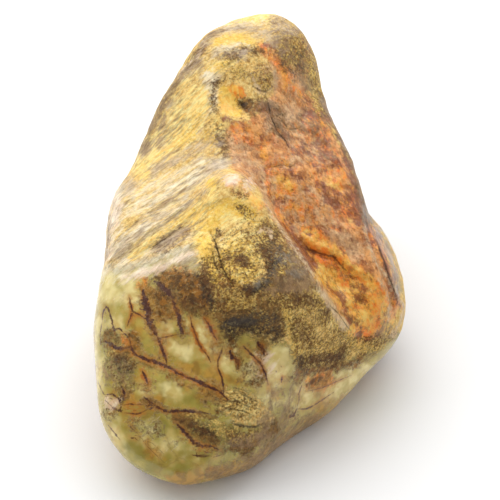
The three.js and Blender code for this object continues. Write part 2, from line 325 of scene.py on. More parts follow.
# Where each mineral shows. Lengths are in px.
OLIVE = [
    spot("chin", 170, 450, 58, 26, 0, 1.2),
    spot("left cheek", 116, 362, 22, 50, 0, 0.6),
    spot("under the trunk vein", 184, 392, 40, 12, 22, 0.7),
    spot("upper left", 124, 312, 8, 22, 0, 0.1),
    spot("windows", 178, 345, 24, 22, 20, -0.1),
    spot("nose", 140, 425, 34, 18, 20, 0.5),
    spot("chin's right", 232, 462, 24, 10, -10, 0.8),
    spot("window high", 166, 322, 10, 9, 20, 0.7),
    # Painted shade: darker olive along the bottom edge, which turns away from the light.
    stroke("underside", [(130, 462), (160, 476), (200, 480), (240, 470), (280, 446)], 6, 0.9),
    spot("above the seam's left", 128, 398, 12, 9, 20, 0.6),
]
MILK = [
    # Partly pale nephrite, partly painted highlight where the upper left catches the light.
    spot("upper left glow", 110, 290, 10, 20, 0, 0.9),
    spot("by the pale ridge", 130, 280, 18, 7, -18, 0.7),
    # Partly pale nephrite, partly painted highlight along the left edge.
    spot("left edge", 97, 356, 4, 40, 0, 0.5),
    spot("window high", 168, 323, 10, 7, 20, -0.2),
    spot("keel", 292, 398, 5, 14, 0, 0.7),
    spot("window low", 182, 349, 16, 11, 20, 0.9),
    spot("window right", 202, 334, 8, 16, -20, 0.8),
    spot("streak under the trunk vein", 168, 390, 17, 5, 22, 0.2),
    spot("cream window", 230, 362, 9, 15, 0, 1),
    spot("glassy patch", 278, 368, 14, 20, 0, 1.2),
    spot("right flank", 348, 381, 28, 10, -30, 1),
    spot("keel window", 305, 393, 6, 9, 0, 0.7),
    spot("chin's glow", 160, 440, 34, 12, 20, -0.2),
    spot("left of the chin", 112, 428, 7, 24, -20, 0.7),
    spot("right of the crust patch", 268, 402, 7, 10, 0, 0.6),
    spot("left of the trunk", 118, 318, 5, 10, 0, 0.1),
    spot("over the crust patch", 256, 370, 16, 14, 0, 0.9),
    spot("beside the curved vein", 212, 350, 8, 16, -20, 0.5),
    spot("upper left cheek", 128, 294, 12, 14, 0, 0.7),
    spot("pale flakes", 268, 352, 12, 10, 0, 0.6),
    spot("beside the keel", 288, 372, 6, 12, 0, 0.6),
    spot("between trunk and seam", 164, 392, 18, 6, 16, 0.4),
    spot("between the two brown veins", 168, 330, 7, 12, -20, 0.6),
]
HONEY = [
    spot("over the trunk vein", 200, 371, 24, 8, 24, 1),
    spot("between the seams", 146, 399, 20, 6, 12, 0.2),
    spot("low on the right window", 213, 346, 4, 14, 0, 0.5),
    spot("under the trunk vein's end", 208, 394, 22, 6, 24, 0.6),
    spot("keel's rim", 296, 440, 46, 4, -38, 0.3),
    spot("by the fork", 144, 384, 9, 8, 30, 0.5),
    spot("right flank's orange", 321, 379, 13, 12, -30, 1),
    spot("window's left edge", 165, 346, 4, 20, 0, 0.4),
    spot("arc", 140, 438, 18, 3, 46, -0.2),
    spot("left cheek", 126, 380, 10, 20, 0, -0.4),
    spot("cream window's foot", 236, 380, 12, 6, 0, 0.5),
    spot("glassy patch's foot", 272, 388, 8, 4, 0, 0.4),
    spot("trunk's knot", 136, 338, 9, 12, 0, 0.5),
    spot("right window's head", 200, 318, 12, 4, 20, 0.6),
    # Painted shade: darker amber along the bottom edge.
    stroke("underside", [(176, 480), (226, 473), (262, 460), (300, 434), (340, 402)], 9, 1),
    spot("brown head of the veins", 160, 308, 22, 18, 0, 0.9),
    spot("broad vein's side", 152, 330, 6, 14, -20, 0.6),
]
CRUST = [
    area("above the nose", [
        (80, 268), (104, 272), (126, 268), (150, 261), (178, 249), (193, 249), (200, 266), (206, 285),
        (214, 302), (226, 316), (238, 330), (262, 340), (284, 343), (294, 350), (298, 362), (312, 366),
        (332, 366), (352, 360), (372, 350), (396, 333), (430, 330), (430, 0), (70, 0)], 2),
    area("crust patch", [
        (222, 386), (236, 390), (250, 394), (262, 406), (266, 420), (252, 428), (236, 424), (224, 410),
        (216, 396)], 0.7, 8),
    stroke("crust patch's strands", [
        (208, 388), (222, 396), (240, 402), (258, 410), (270, 414)], 3, 0.6, 4),
    stroke("crust patch's lower strands", [(220, 408), (236, 416), (256, 420), (272, 418)], 2.5, 0.5, 4),
]
CREAM = [
    # Painted highlight along the ridge over the nose.
    stroke("pale ridge", [(100, 274), (134, 265), (159, 258), (182, 250), (193, 245)], 6, 1),
    stroke("valley band", [(122, 197), (154, 186), (177, 174), (199, 164), (222, 164)], 5, 0.2),
    stroke("lower valley band", [(130, 212), (160, 196), (186, 182), (206, 176)], 6, 0.4),
    stroke("middle of the shoulder", [(112, 250), (138, 236), (160, 220), (182, 200)], 9, 0.3),
    spot("left edge high", 116, 196, 8, 14, 10, 0.4),
    spot("left edge", 114, 230, 9, 24, 10, 0.2),
    spot("peak's left", 210, 74, 9, 7, -40, 0.5),
    spot("by the crater", 206, 96, 4, 18, 10, 0.5),
    spot("peak's top left", 238, 20, 30, 6, -8, 0.9),
    stroke("gold ridge's side", [(126, 262), (150, 250), (172, 240)], 3, 0.2),
    spot("pale strip", 198, 120, 4, 26, 20, 0.1),
    stroke("between the peak's bands", [(216, 50), (232, 47), (250, 46)], 3, 0.5),
    spot("crater's halo", 212, 94, 5, 18, 5, 0.6),
    spot("left of the knob's crack", 210, 230, 9, 14, 0, 0.5),
    stroke("crest's lower strands", [(320, 292), (328, 306), (338, 320), (350, 334)], 5, 1),
    spot("knob's top", 214, 212, 12, 8, 0, 0.3),
    # Painted highlight at the ridge's left end.
    spot("left end of the pale ridge", 109, 268, 9, 7, -10, 0.9),
]
GOLD = [
    stroke("golden ridge", [(132, 254), (145, 242), (164, 230), (182, 219), (200, 207), (214, 200)], 6, 1),
    spot("knob's top", 214, 214, 16, 14, 0, 1),
    spot("knob's left", 206, 244, 13, 24, -10, 1.3),
    spot("knob's front left", 214, 270, 10, 24, -14, 1),
    spot("knob's middle", 242, 256, 22, 26, 0, 0.2),
    spot("ring", 262, 230, 12, 8, 20, 0.7),
    spot("yellow left side", 182, 124, 44, 18, -58, 0.8),
    spot("yellow, low on the left", 150, 160, 22, 12, -40, 0.5),
    stroke("peak's yellow band", [(212, 42), (230, 38), (244, 38), (254, 41)], 4, 1),
    spot("peak's yellow patch", 220, 65, 14, 4, -12, 0.8),
    spot("peak's top", 244, 16, 34, 7, -6, 0.4),
    spot("below the crater", 216, 126, 6, 14, -20, 0.5),
    spot("by the orange bump", 246, 206, 14, 5, 30, 0.3),
    spot("crust patch", 240, 404, 16, 12, 20, 0.2),
    stroke("thin gold streak", [(150, 214), (176, 198), (198, 186)], 2, 0.1),
    spot("before the bump", 214, 188, 8, 6, 0, 0.6),
    stroke("peak's left flank", [(134, 160), (150, 132), (164, 106), (180, 80), (196, 60)], 8, 0.9),
    spot("knob's top right", 236, 212, 20, 9, 10, 1.2),
    spot("knob's top left", 200, 222, 14, 10, -30, 1.2),
    stroke("beside the lower crest", [(318, 296), (328, 312), (340, 328)], 4, 0.5),
]
SULPHUR = [
    area("crater's floor", [
        (219, 86), (230, 85), (234, 95), (238, 101), (243, 109), (241, 117), (229, 117), (222, 111),
        (218, 101)], 2, 2),
    stroke("peak's yellow band", [(216, 41), (230, 38), (244, 38), (252, 41)], 3, 0.5),
    spot("below the crater", 212, 140, 5, 10, -30, 0.2),
    stroke("golden ridge", [(150, 240), (176, 223), (204, 206)], 2.5, -0.2),
    spot("knob's top", 208, 220, 10, 14, 0, 0.2),
    spot("yellow side", 190, 130, 20, 6, -58, 0.1),
    spot("before the bump", 212, 184, 6, 5, 0, 0.4),
    stroke("by the knob crack", [(206, 246), (210, 264), (217, 284), (224, 300), (240, 306)], 6, 0.7),
    spot("peak's top", 238, 20, 14, 2, -10, -0.2),
    spot("peak's yellow patch", 220, 65, 12, 3, -12, 0.5),
    spot("knob's middle", 238, 262, 20, 24, 0, 0.15),
    stroke("knob's shoulder", [(196, 222), (212, 212), (230, 206), (248, 212), (262, 224)], 6, 0.1),
    spot("knob's upper left", 206, 250, 8, 16, -14, 0.3),
]
RUST = [
    area("rusty face", [
        (228, 126), (240, 121), (250, 120), (258, 112), (268, 108), (272, 92), (278, 82), (270, 66),
        (258, 50), (266, 44), (284, 56), (298, 78), (312, 98), (324, 112), (336, 132), (346, 154),
        (355, 178), (362, 200), (370, 218), (380, 240), (388, 262), (398, 286), (401, 306), (392, 324),
        (380, 336), (364, 344), (350, 340), (340, 326), (329, 305), (317, 284), (303, 260), (292, 244),
        (276, 218), (265, 202), (258, 188), (244, 176), (232, 166), (226, 148)], 2),
    spot("peak's orange spot", 304, 60, 9, 20, 5, 0.6),
    spot("over the groove", 385, 250, 4, 26, -22, 0.8),
    spot("bump", 240, 188, 12, 6, 20, -0.1),
]
BEIGE = [
    area("plate under the peak", [
        (272, 100), (290, 100), (304, 108), (312, 122), (304, 130), (288, 126), (274, 118)], 0.9),
    spot("brown upper left", 246, 158, 10, 22, -20, -0.1),
    spot("grey-pink plate", 348, 246, 18, 12, 42, 0.6),
    spot("lilac middle", 312, 198, 20, 12, 30, 0.1),
    spot("beige under the crack", 300, 146, 18, 9, 30, 0.5),
    spot("beside the right flame", 320, 160, 5, 14, -30, 0.3),
    spot("foot of the plate", 292, 132, 16, 6, 10, 0.8),
    spot("middle by the crest", 296, 214, 14, 10, 40, 0.5),
    spot("above the ledge", 330, 230, 14, 6, 40, 0.6),
    spot("middle right", 326, 218, 20, 8, 40, 0.1),
    spot("by the cross crack", 290, 160, 16, 4, 0, 0.4),
    spot("along the crest", 280, 200, 14, 38, -32, 0.8),
    spot("right of the peak's orange", 296, 84, 6, 14, -20, 0.2),
    spot("tan lobe", 268, 78, 8, 14, 0, 0.3),
    spot("salmon upper left", 238, 146, 12, 18, -10, 0.4),
    spot("by the crater's crack", 272, 128, 5, 16, -20, 0.4),
    spot("upper left, low", 256, 166, 12, 12, 20, 0.3),
]
FLAME = [
    area("lower face", [
        (300, 226), (322, 232), (338, 254), (360, 270), (384, 284), (392, 306), (380, 330), (362, 342),
        (350, 326), (336, 300), (318, 276), (308, 254)], 0.9),
    area("upper face", [
        (262, 140), (284, 130), (312, 116), (334, 150), (352, 190), (364, 226), (340, 226), (300, 226),
        (272, 200)], -0.35),
    spot("bright by the crack", 265, 154, 4, 9, 0, 0.8),
    spot("middle flame", 287, 186, 13, 7, 36, 1),
    stroke("right flame", [(310, 120), (318, 132), (328, 146), (336, 160), (344, 176)], 4, 0.9),
    spot("right flame's end", 336, 182, 12, 5, 40, 0.6),
    spot("right middle", 350, 206, 12, 6, 55, 0.1),
    spot("over the ledge", 314, 238, 13, 10, 30, 1),
    stroke("ledge's orange", [(318, 244), (336, 252), (344, 264), (357, 272), (374, 282)], 5, 1.3),
    stroke("peak's orange streak", [
        (260, 48), (272, 55), (280, 63), (284, 75), (290, 86), (300, 97)], 3, 0.7),
    spot("crater's lump", 237, 91, 9, 7, 40, 1.4, 3),
    spot("mid strand", 300, 206, 12, 4, 30, 0.1),
    spot("low by the crest", 284, 222, 3, 14, -30, 0.6),
    spot("below the crater", 240, 130, 8, 8, 0, 0.1),
    spot("orange bump", 258, 203, 7, 4, 40, 0.8),
    spot("groove's side", 377, 248, 3, 16, -24, 0.4),
    spot("salmon upper left", 250, 132, 8, 12, 0, 0),
    spot("flank's orange", 321, 381, 11, 6, -30, 0.3),
    spot("stain's heart", 178, 274, 9, 4, 10, -0.5),
    stroke("right of the plate", [(314, 116), (320, 128), (326, 140)], 5, 0.5),
    spot("trunk's knot", 130, 344, 5, 8, -20, -0.1),
    spot("broad vein's orange", 142, 284, 5, 7, 0, -0.1),
]
EMBER = [
    spot("under the ledge", 322, 275, 12, 8, 40, 0.9),
    spot("lower middle", 346, 284, 16, 8, 30, 0.4),
    spot("face's foot", 362, 318, 14, 9, 30, 0.7),
    stroke("cream streak", [(335, 313), (344, 322), (354, 330)], 3.5, 1),
    spot("right flame's end", 336, 184, 10, 4, 40, 0.2),
    spot("middle flame", 284, 183, 9, 4, 36, 0.1),
    spot("over the ledge", 312, 236, 9, 6, 30, 0.1),
    spot("orange bump", 254, 199, 8, 6, 30, 0.8),
    spot("lower right", 384, 312, 4, 14, -5, 0.3),
    spot("yellow fleck", 351, 221, 2, 2, 0, 0.8),
    spot("foot's edge", 356, 340, 8, 4, -20, 0.2),
    spot("crater's lump", 235, 88, 4, 4, 0, 0.8, 2),
    spot("whole lower face", 350, 292, 36, 24, 40, 0),
    stroke("along the lower crest", [(324, 296), (332, 308), (342, 322), (352, 334)], 3.5, 0.9),
    spot("foot corner", 388, 326, 8, 6, -50, 0.5),
    spot("crater's floor", 229, 103, 9, 13, -20, 0.4),
    stroke("ledge's light", [(318, 243), (334, 249), (344, 260), (358, 270)], 3, 0.6),
]
MAROON = [
    area("fine flecks", [
        (228, 124), (268, 108), (324, 112), (362, 200), (400, 300), (364, 344), (317, 284), (276, 218),
        (244, 176)], -0.5),
    stroke("along the crest", [(281, 228), (293, 242), (304, 256), (311, 268)], 6, 1.2, 4),
    spot("right middle", 332, 202, 13, 5, 42, 0.5),
    # Painted shadow: maroon along the foot of the ledge, where the ledge overhangs.
    stroke("ledge's foot", [(309, 250), (320, 256), (334, 261), (344, 272), (356, 280)], 2.5, 0.5),
    spot("hole", 359, 298, 4, 3, 30, 0.9),
    spot("hole's tail", 364, 305, 3, 2.5, 30, 0.8),
    stroke("dark band", [(327, 288), (340, 295), (343, 303)], 2.5, 0.7),
    stroke("down the face's foot", [(344, 313), (351, 320), (361, 327), (358, 338)], 2.5, 0.6),
    stroke("right edge", [(324, 108), (338, 134), (350, 164), (358, 190), (362, 214)], 5, 0.5),
    spot("dark right", 357, 220, 4, 8, -20, 0.6),
    stroke("groove", [(374, 232), (380, 250), (385, 264), (389, 278), (395, 291), (399, 304)], 3.5, 1.4),
    spot("under the beige", 290, 142, 12, 4, 40, 0.1),
    spot("right of the crater", 262, 108, 8, 4, 0, 0.4),
    spot("mid", 300, 176, 14, 4, 20, 0),
    spot("upper right", 326, 152, 8, 18, -26, 0.2),
    spot("under the plate", 296, 150, 10, 4, 30, 0.1),
    spot("left of the flame", 276, 203, 5, 4, 40, -0.1),
    stroke("crater's outer edge", [(224, 120), (236, 122), (250, 120)], 2, 0.3),
    stroke("beside the right flame", [(318, 124), (330, 142), (340, 166)], 1.5, 0.2),
    spot("peak's brown", 272, 48, 10, 6, 10, 0),
    spot("right of the middle flame", 326, 190, 12, 5, 40, 0),
    spot("close under the plate", 296, 144, 16, 6, 20, 0),
    spot("right of the plate", 309, 108, 9, 11, -20, 0.3),
    spot("above the groove", 370, 234, 7, 18, -24, 0.3),
    spot("under the right flame", 346, 204, 10, 12, -30, 0.1),
    stroke("under the ledge's middle", [(326, 262), (338, 270), (350, 282), (366, 290)], 2, 0.3),
]
UMBER = [
    area("knob's dark side", [
        (258, 222), (266, 216), (276, 224), (288, 242), (300, 260), (312, 276), (319, 287), (308, 294),
        (300, 302), (294, 312), (289, 322), (287, 334), (282, 341), (270, 339), (257, 336), (245, 333),
        (232, 338), (224, 336), (212, 322), (203, 304), (197, 286), (200, 270), (208, 278), (216, 288),
        (230, 294), (242, 292), (250, 284), (260, 278), (264, 262), (258, 244)], 1.5),
    area("front crust", [
        (296, 308), (312, 290), (322, 296), (334, 312), (346, 334), (364, 346), (384, 338), (372, 352),
        (350, 361), (330, 367), (312, 367), (298, 364), (292, 352)], 0.2),
    spot("keel head", 303, 362, 6, 7, 0, 0.7),
    spot("peak's right", 293, 46, 16, 22, 16, 0.6),
    spot("right of the crater", 252, 104, 14, 8, -10, 0.9),
    spot("above the crater", 242, 72, 18, 6, 5, 0.5),
    spot("tan lobe", 263, 77, 9, 12, 0, 0.2),
    stroke("peak's right edge", [(306, 44), (314, 66), (320, 90), (328, 112)], 8, 0.5),
    spot("left of the rust", 221, 140, 6, 16, -15, 0.5),
    spot("peak's second band", 242, 53, 24, 5, -6, 0.4),
    spot("knob's front", 234, 264, 24, 34, -10, -0.25),
    spot("knob's upper right", 256, 222, 10, 8, 30, -0.4),
    spot("knob's dip", 242, 260, 9, 7, 0, 0.4, 4),
    area("chin", [
        (166, 413), (184, 416), (200, 420), (214, 428), (221, 440), (213, 449), (200, 444), (188, 436),
        (178, 427)], 0.5, 5),
    area("scratchy chin", [
        (224, 427), (240, 431), (262, 429), (277, 420), (281, 432), (264, 444), (248, 456),
        (230, 450)], 1, 5),
    spot("left cluster's head", 112, 352, 9, 5, 20, -0.1, 4),
    spot("left cluster", 121, 367, 12, 7, 30, 0, 5),
    spot("left cluster's foot", 126, 386, 8, 9, 0, 0.1, 4),
    stroke("seam", [(144, 400), (158, 407), (174, 413), (190, 414), (212, 418)], 3, 0.9, 4),
    stroke("right rim", [(322, 98), (338, 128), (352, 162), (362, 196), (370, 222)], 2.5, 0.6),
    spot("under the stain", 190, 308, 12, 6, 20, 0.2),
    spot("mottle over the crust patch", 250, 378, 12, 8, 0, -0.5),
    spot("granular patch", 172, 240, 21, 7, -30, 0.1),
    stroke("peak's left outline", [(144, 142), (160, 110), (174, 86), (190, 64), (204, 46)], 2.5, 0.2),
    spot("beside the crater's crack", 276, 120, 7, 16, -20, -0.2),
    spot("left edge's cluster", 110, 340, 8, 9, 0, 0.1, 4),
    spot("foot of the stain", 208, 308, 7, 14, -20, 0.5),
    spot("peak's upper right", 286, 28, 16, 8, 30, 0),
    spot("chin's left", 146, 428, 16, 5, 20, -0.3),
    spot("left knot's shade", 110, 414, 7, 6, 0, 0, 4),
    spot("middle of the knob", 250, 252, 12, 10, 20, -0.1),
]
BRASS = [
    area("knob's dark side", [
        (258, 222), (276, 224), (300, 260), (319, 287), (289, 322), (283, 346), (245, 336), (224, 340),
        (203, 304), (200, 272), (230, 304), (260, 280)], -0.38),
    area("front crust", [
        (296, 308), (312, 290), (322, 296), (334, 312), (346, 334), (364, 346), (394, 332), (384, 346),
        (352, 361), (330, 367), (312, 367), (298, 364), (292, 352)], 0.15),
    stroke("granular ridge", [(288, 302), (291, 326), (297, 346), (306, 358)], 6, 1.2),
    spot("below the knob", 230, 298, 26, 12, 10, 0.3),
    spot("knob's right", 264, 246, 5, 16, -10, 0.1),
    spot("chin", 206, 424, 20, 6, 20, -0.2),
    spot("scratchy chin", 244, 434, 20, 6, -8, -0.2),
    spot("crust knot", 335, 355, 5, 6, 0, 0.5),
    spot("left cluster", 120, 360, 12, 10, 0, -0.3),
    spot("face's foot", 350, 342, 16, 6, 30, 0),
    spot("peak's right", 294, 44, 14, 20, 10, 0),
    spot("above the crater", 240, 72, 16, 5, 5, 0),
    spot("tan lobe", 264, 76, 8, 12, 0, -0.1),
    stroke("peak's right edge", [(290, 30), (306, 50), (316, 76), (324, 104)], 8, -0.2),
    stroke("crest's lower edge", [(326, 306), (338, 326), (350, 342), (366, 348)], 4, 0.8),
    spot("middle of the front crust", 316, 346, 14, 8, 20, 0.2),
]
STAIN = [
    area("under the pale ridge", [
        (148, 276), (164, 268), (186, 268), (202, 280), (210, 300), (208, 312), (192, 304), (176, 296),
        (162, 288)], 1.8),
    spot("mottle over the crust patch", 252, 374, 12, 10, 0, -0.1),
    spot("below the dark crust", 320, 370, 16, 4, -10, 0.8),
    spot("trunk vein's knot", 133, 346, 7, 14, -10, 0.8),
    stroke("along the trunk vein", [(136, 355), (156, 365), (185, 378), (205, 386), (226, 400)], 4, 0.4),
    stroke("along the broad vein", [(143, 288), (147, 306), (150, 324), (158, 340), (165, 358)], 3, 0.5),
    stroke("along the second vein", [(160, 286), (172, 298), (179, 316), (183, 334)], 3, 0.4),
    spot("fork", 148, 385, 6, 5, 0, 0.3),
    stroke("hollow's edge", [(206, 314), (212, 326), (218, 338), (216, 348)], 3, 0.9),
    spot("keel", 298, 376, 8, 6, 0, 0.3),
    spot("right flank's orange", 320, 379, 13, 7, -30, 0.5),
    spot("broad vein's top", 146, 290, 4, 12, 5, 0.5),
    spot("flakes by the glass", 262, 352, 6, 12, 0, 0.2),
    spot("flakes by the hollow", 238, 350, 12, 7, 0, -0.1),
    spot("trunk vein's foot", 212, 390, 14, 7, 24, 0.7),
    spot("chin's rim", 204, 446, 20, 3, 14, -0.3),
    spot("brown head of the veins", 160, 304, 20, 17, 20, 0.6),
    stroke("under the front crust", [(308, 372), (326, 368), (346, 366), (362, 358)], 4, 0.4),
    spot("under the stain", 190, 292, 14, 12, 0, 0.8),
    spot("peak's right", 294, 52, 12, 24, 10, -0.2),
    spot("right of the crater", 256, 106, 14, 6, 10, 0),
    spot("tan lobe", 262, 74, 10, 10, 0, -0.2),
    area("front crust", [
        (296, 308), (312, 290), (326, 298), (346, 334), (364, 346), (384, 338), (372, 352), (350, 361),
        (330, 367), (312, 367), (298, 364), (292, 352)], -0.55),
    spot("knob's foot", 232, 296, 24, 14, 0, -0.1),
    spot("trunk's knot, upper", 130, 352, 9, 10, 0, 0.5),
    spot("trunk's end", 214, 404, 10, 8, 20, 0.1),
]
BLUSH = [
    spot("left edge", 115, 214, 6, 18, 10, 0.3),
    # Painted highlight: a pink bright band along the ridge over the nose.
    spot("under the pale ridge", 144, 272, 22, 4, -16, 0.6),
    spot("bump", 231, 181, 9, 6, -10, 1, 3),
    spot("bump's right", 248, 184, 5, 5, 30, 0.4),
    spot("left knot", 112, 402, 6, 6, 0, 0.3),
    # Painted highlight at the ridge's right end.
    spot("pale ridge's end", 184, 258, 12, 4, -20, 0.4),
    spot("peak's left edge", 190, 66, 4, 16, 40, 0.1),
    spot("left edge low", 108, 246, 4, 14, 0, 0.2),
    spot("beside the glassy patch", 264, 364, 10, 14, 0, 0),
]
LILAC = [
    stroke("long band", [(154, 170), (164, 163), (176, 160), (188, 153), (200, 148)], 4, 0.6),
    spot("smudge on the left edge", 130, 186, 4, 7, 0, 0.9),
    spot("blob by the bump", 212, 162, 7, 4, -10, 0.8),
    spot("blob's foot", 216, 172, 7, 3, 0, 0.5),
    spot("mottle under the yellow", 206, 150, 18, 6, -30, 0.1),
    stroke("streaks", [(146, 222), (166, 208), (186, 194), (200, 186)], 5, 0),
    stroke("lower streaks", [(118, 252), (142, 236), (164, 222)], 5, 0),
    stroke("peak's grey band", [
        (204, 44), (212, 35), (224, 29), (238, 27), (251, 29), (264, 34), (280, 44)], 4, 0.7),
    stroke("peak's second band", [(214, 54), (230, 53), (246, 53)], 2, 0.1),
    spot("smudge 1", 145, 149, 4, 6, 20, 0.5),
    spot("smudge 2", 160, 143, 4, 6, 20, 0.4),
    spot("smudge 3", 163, 124, 4, 7, 20, 0.3),
    spot("smudge 4", 169, 105, 3, 7, 30, 0.3),
    spot("smudge 5", 199, 68, 4, 6, 20, 0.4),
    spot("peak's right", 284, 26, 14, 6, 30, 0.1),
    spot("dark granular patch", 172, 240, 20, 6, -30, 0),
    spot("knob's left foot", 192, 262, 8, 6, 0, 0.4),
    spot("valley by the bump", 218, 168, 14, 6, -30, 0.6),
]
SMOKE = [
    area("smooth side of the crest", [
        (288, 244), (295, 252), (304, 264), (312, 276), (319, 288), (308, 292), (292, 294), (278, 295),
        (264, 294), (262, 288), (274, 280), (286, 276), (292, 264)], 0.8),
    stroke("keel's dark side", [(297, 374), (293, 388), (290, 402), (282, 418)], 1.5, 0.2),
    spot("scratchy chin", 252, 440, 24, 6, -8, 0.2),
    spot("peak's right", 284, 46, 8, 12, -30, 0.2),
    spot("right edge of the peak", 306, 76, 5, 18, -10, 0.5),
    spot("left cluster", 118, 372, 14, 16, 0, 0.2),
    stroke("right rim", [(322, 100), (338, 128), (352, 162), (362, 196), (370, 222)], 2, 0.6),
    spot("foot corner", 384, 332, 10, 6, -50, 0.4),
    spot("keel", 286, 416, 5, 12, 20, 0.1),
    # Painted shade along the bottom edge.
    stroke("underside", [(210, 474), (238, 466), (264, 454), (290, 436), (312, 418)], 6, 0.1),
    area("under the peak", [
        (262, 104), (276, 96), (300, 98), (318, 112), (332, 134), (338, 156), (318, 156), (300, 142),
        (284, 136), (268, 122)], -0.35),
    stroke("keel's brown side", [(278, 392), (274, 408), (264, 424)], 6, 0.2),
]
# Near-black: dark mineral marks, and painted shade in the hollow under the knob and under the knob's right
# side.
BLACK_AND_SHADE = [
    # Painted shade over dark crust: the hollow under the knob, its heart, and the place under the knob's
    # right side.
    area("hollow", [
        (217, 318), (238, 314), (257, 312), (276, 313), (286, 324), (284, 338), (276, 344), (264, 338),
        (251, 335), (238, 338), (226, 338), (220, 330)], 0.2),
    spot("hollow's heart", 242, 322, 17, 7, 0, 1.6, 4),
    spot("under the knob's right", 254, 289, 9, 4, 0, 1),
    spot("left of the knob's foot", 207, 292, 4, 16, -20, 0.5),
    spot("chin cluster", 200, 431, 16, 6, 28, 0.3),
    spot("crater's corner", 245, 104, 4, 2.5, -20, 0.6, 2),
    spot("keel head", 302, 361, 4, 6, 0, 0.5),
    spot("keel blot", 291, 415, 4, 2, -20, 1),
    stroke("stain's dark streak", [(152, 279), (160, 286), (168, 293), (176, 301)], 2.2, 0.8),
    spot("front crust's foot", 326, 359, 20, 4, -10, 0.4),
    spot("knob's side", 274, 250, 6, 12, -30, 0),
    spot("left cluster", 124, 366, 10, 8, 30, 0),
    spot("peak's right", 292, 60, 8, 14, 0, -0.5),
    stroke("smooth side's shade", [(264, 248), (272, 260), (272, 272), (262, 284)], 5, 0.3),
]
DARK_STREAKS = [
    area("whole shoulder", [
        (104, 270), (150, 258), (192, 246), (210, 210), (222, 186), (204, 168), (180, 160), (140, 176),
        (104, 200)], -0.45),
    area("yellow side", [
        (180, 160), (204, 150), (216, 110), (222, 62), (206, 40), (160, 96), (120, 176)], -0.5),
    stroke("dark streak", [(191, 203), (180, 212), (174, 217)], 2.5, 1),
    stroke("by the bump", [(219, 184), (215, 194)], 1.5, 0.9),
    stroke("upper streak", [(128, 228), (150, 212), (172, 198)], 1.5, 0.1),
    stroke("middle streak", [(112, 262), (132, 246), (152, 232), (172, 216)], 2, 0.3),
    stroke("lower streak", [(106, 268), (124, 254), (140, 244)], 1.5, 0.2),
    stroke("left edge", [(108, 216), (108, 236), (106, 258)], 1.5, 0.3),
    spot("smudge 1", 145, 149, 3, 6, 20, 0.4),
    spot("smudge 2", 160, 143, 3, 6, 20, 0.2),
    spot("smudge 3", 163, 122, 4, 8, 20, 0.4),
    spot("smudge 4", 169, 105, 3, 8, 30, 0.3),
    spot("smudge 5", 178, 88, 4, 6, 30, 0.2),
    spot("smudge 6", 197, 54, 6, 4, -40, 0.4),
    stroke("peak's band", [(207, 39), (214, 32), (221, 29)], 2, 0.7),
    stroke("peak's left outline", [(150, 130), (164, 103), (178, 81), (194, 60)], 4, 0.5),
    spot("peak's left shoulder", 192, 72, 8, 14, 40, 0),
    spot("yellow side's middle", 172, 126, 20, 8, -58, -0.1),
]
PLUM = [
    area("knob's flecks", [
        (204, 266), (222, 240), (242, 222), (268, 222), (278, 234), (262, 262), (250, 290), (250, 312),
        (224, 312), (206, 296)], -0.15),
    area("front crust's flecks", [
        (284, 300), (330, 306), (350, 340), (396, 333), (352, 362), (330, 368), (300, 366)], -0.1),
    spot("chin cluster", 194, 429, 24, 7, 30, 0.3),
    spot("knob's side", 240, 259, 5, 4, 0, 0.2, 3),
    spot("by the ring", 263, 256, 8, 14, -20, 0.3),
    spot("knob's dip", 219, 235, 2.5, 3.5, 0, -0.3, 3),
    spot("bump's specks", 240, 194, 8, 2.5, 15, -0.1, 3),
    stroke("crater's wall", [(224, 79), (216, 84), (213, 92), (213, 101), (216, 110)], 2.2, 0.2),
    spot("specks by the glass", 262, 348, 4, 8, 0, 0.1),
    stroke("squiggle", [(231, 342), (232, 355), (239, 361), (238, 368)], 2, 0.5),
    spot("mottle", 252, 374, 13, 10, 0, -0.3),
    spot("under the ridge's foot", 322, 358, 18, 6, -10, 0.6),
    spot("knob's left foot", 208, 278, 6, 18, -14, 0.4),
    spot("purple under the stain", 194, 308, 14, 8, 30, 0.6),
    spot("crust patch", 236, 404, 22, 12, 20, -0.3),
    stroke("dusty lines", [(240, 208), (252, 216), (266, 228)], 2.5, -0.1),
    spot("smoke's foot", 300, 300, 20, 5, 10, 0.2),
    spot("left cluster", 120, 366, 14, 12, 30, -0.1),
    stroke("flecks on the knob's left", [(204, 262), (212, 278), (220, 292), (234, 300)], 4, 0.1),
]
# Pale rims: partly the pale strands of the crest and lip, partly painted highlight along edges that catch
# the light: crest, lip, outer bulge and the tan lobe's edge.
RIMS_AND_HIGHLIGHTS = [
    stroke("crest", [
        (262, 198), (270, 210), (283, 232), (293, 246), (303, 260), (311, 272), (318, 285),
        (324, 297)], 1, 0.5),
    stroke("crest's strands", [(322, 292), (330, 304), (336, 314), (344, 326)], 4, 1),
    stroke("lip", [
        (364, 228), (366, 240), (371, 251), (379, 266), (390, 282), (399, 294), (403, 306), (401, 320),
        (393, 336)], 1.4, 0.7),
    stroke("lip's second strand", [(379, 279), (386, 290), (390, 303), (389, 320)], 1, 0.4),
    stroke("outer bulge", [(380, 226), (390, 240), (399, 258), (405, 278), (407, 298)], 1.8, 0.3),
    stroke("tan lobe's edge", [(274, 66), (276, 76), (274, 86), (268, 91), (260, 91)], 1.2, 0.8),
    stroke("tan lobe's edge, left", [(252, 76), (256, 86), (262, 91)], 1.2, 0.2),
    stroke("knob's ring", [(258, 232), (264, 229), (271, 232), (271, 238)], 1, 0.4),
]
SLATE = [
    stroke("bulge", [(378, 230), (386, 246), (391, 260), (396, 274), (400, 290)], 3, 0.8),
    spot("crest's smooth side", 288, 262, 18, 5, 50, -0.1),
    spot("under the knob", 262, 284, 10, 3, -20, 0),
    spot("right rim", 368, 216, 3, 10, -24, 0),
]


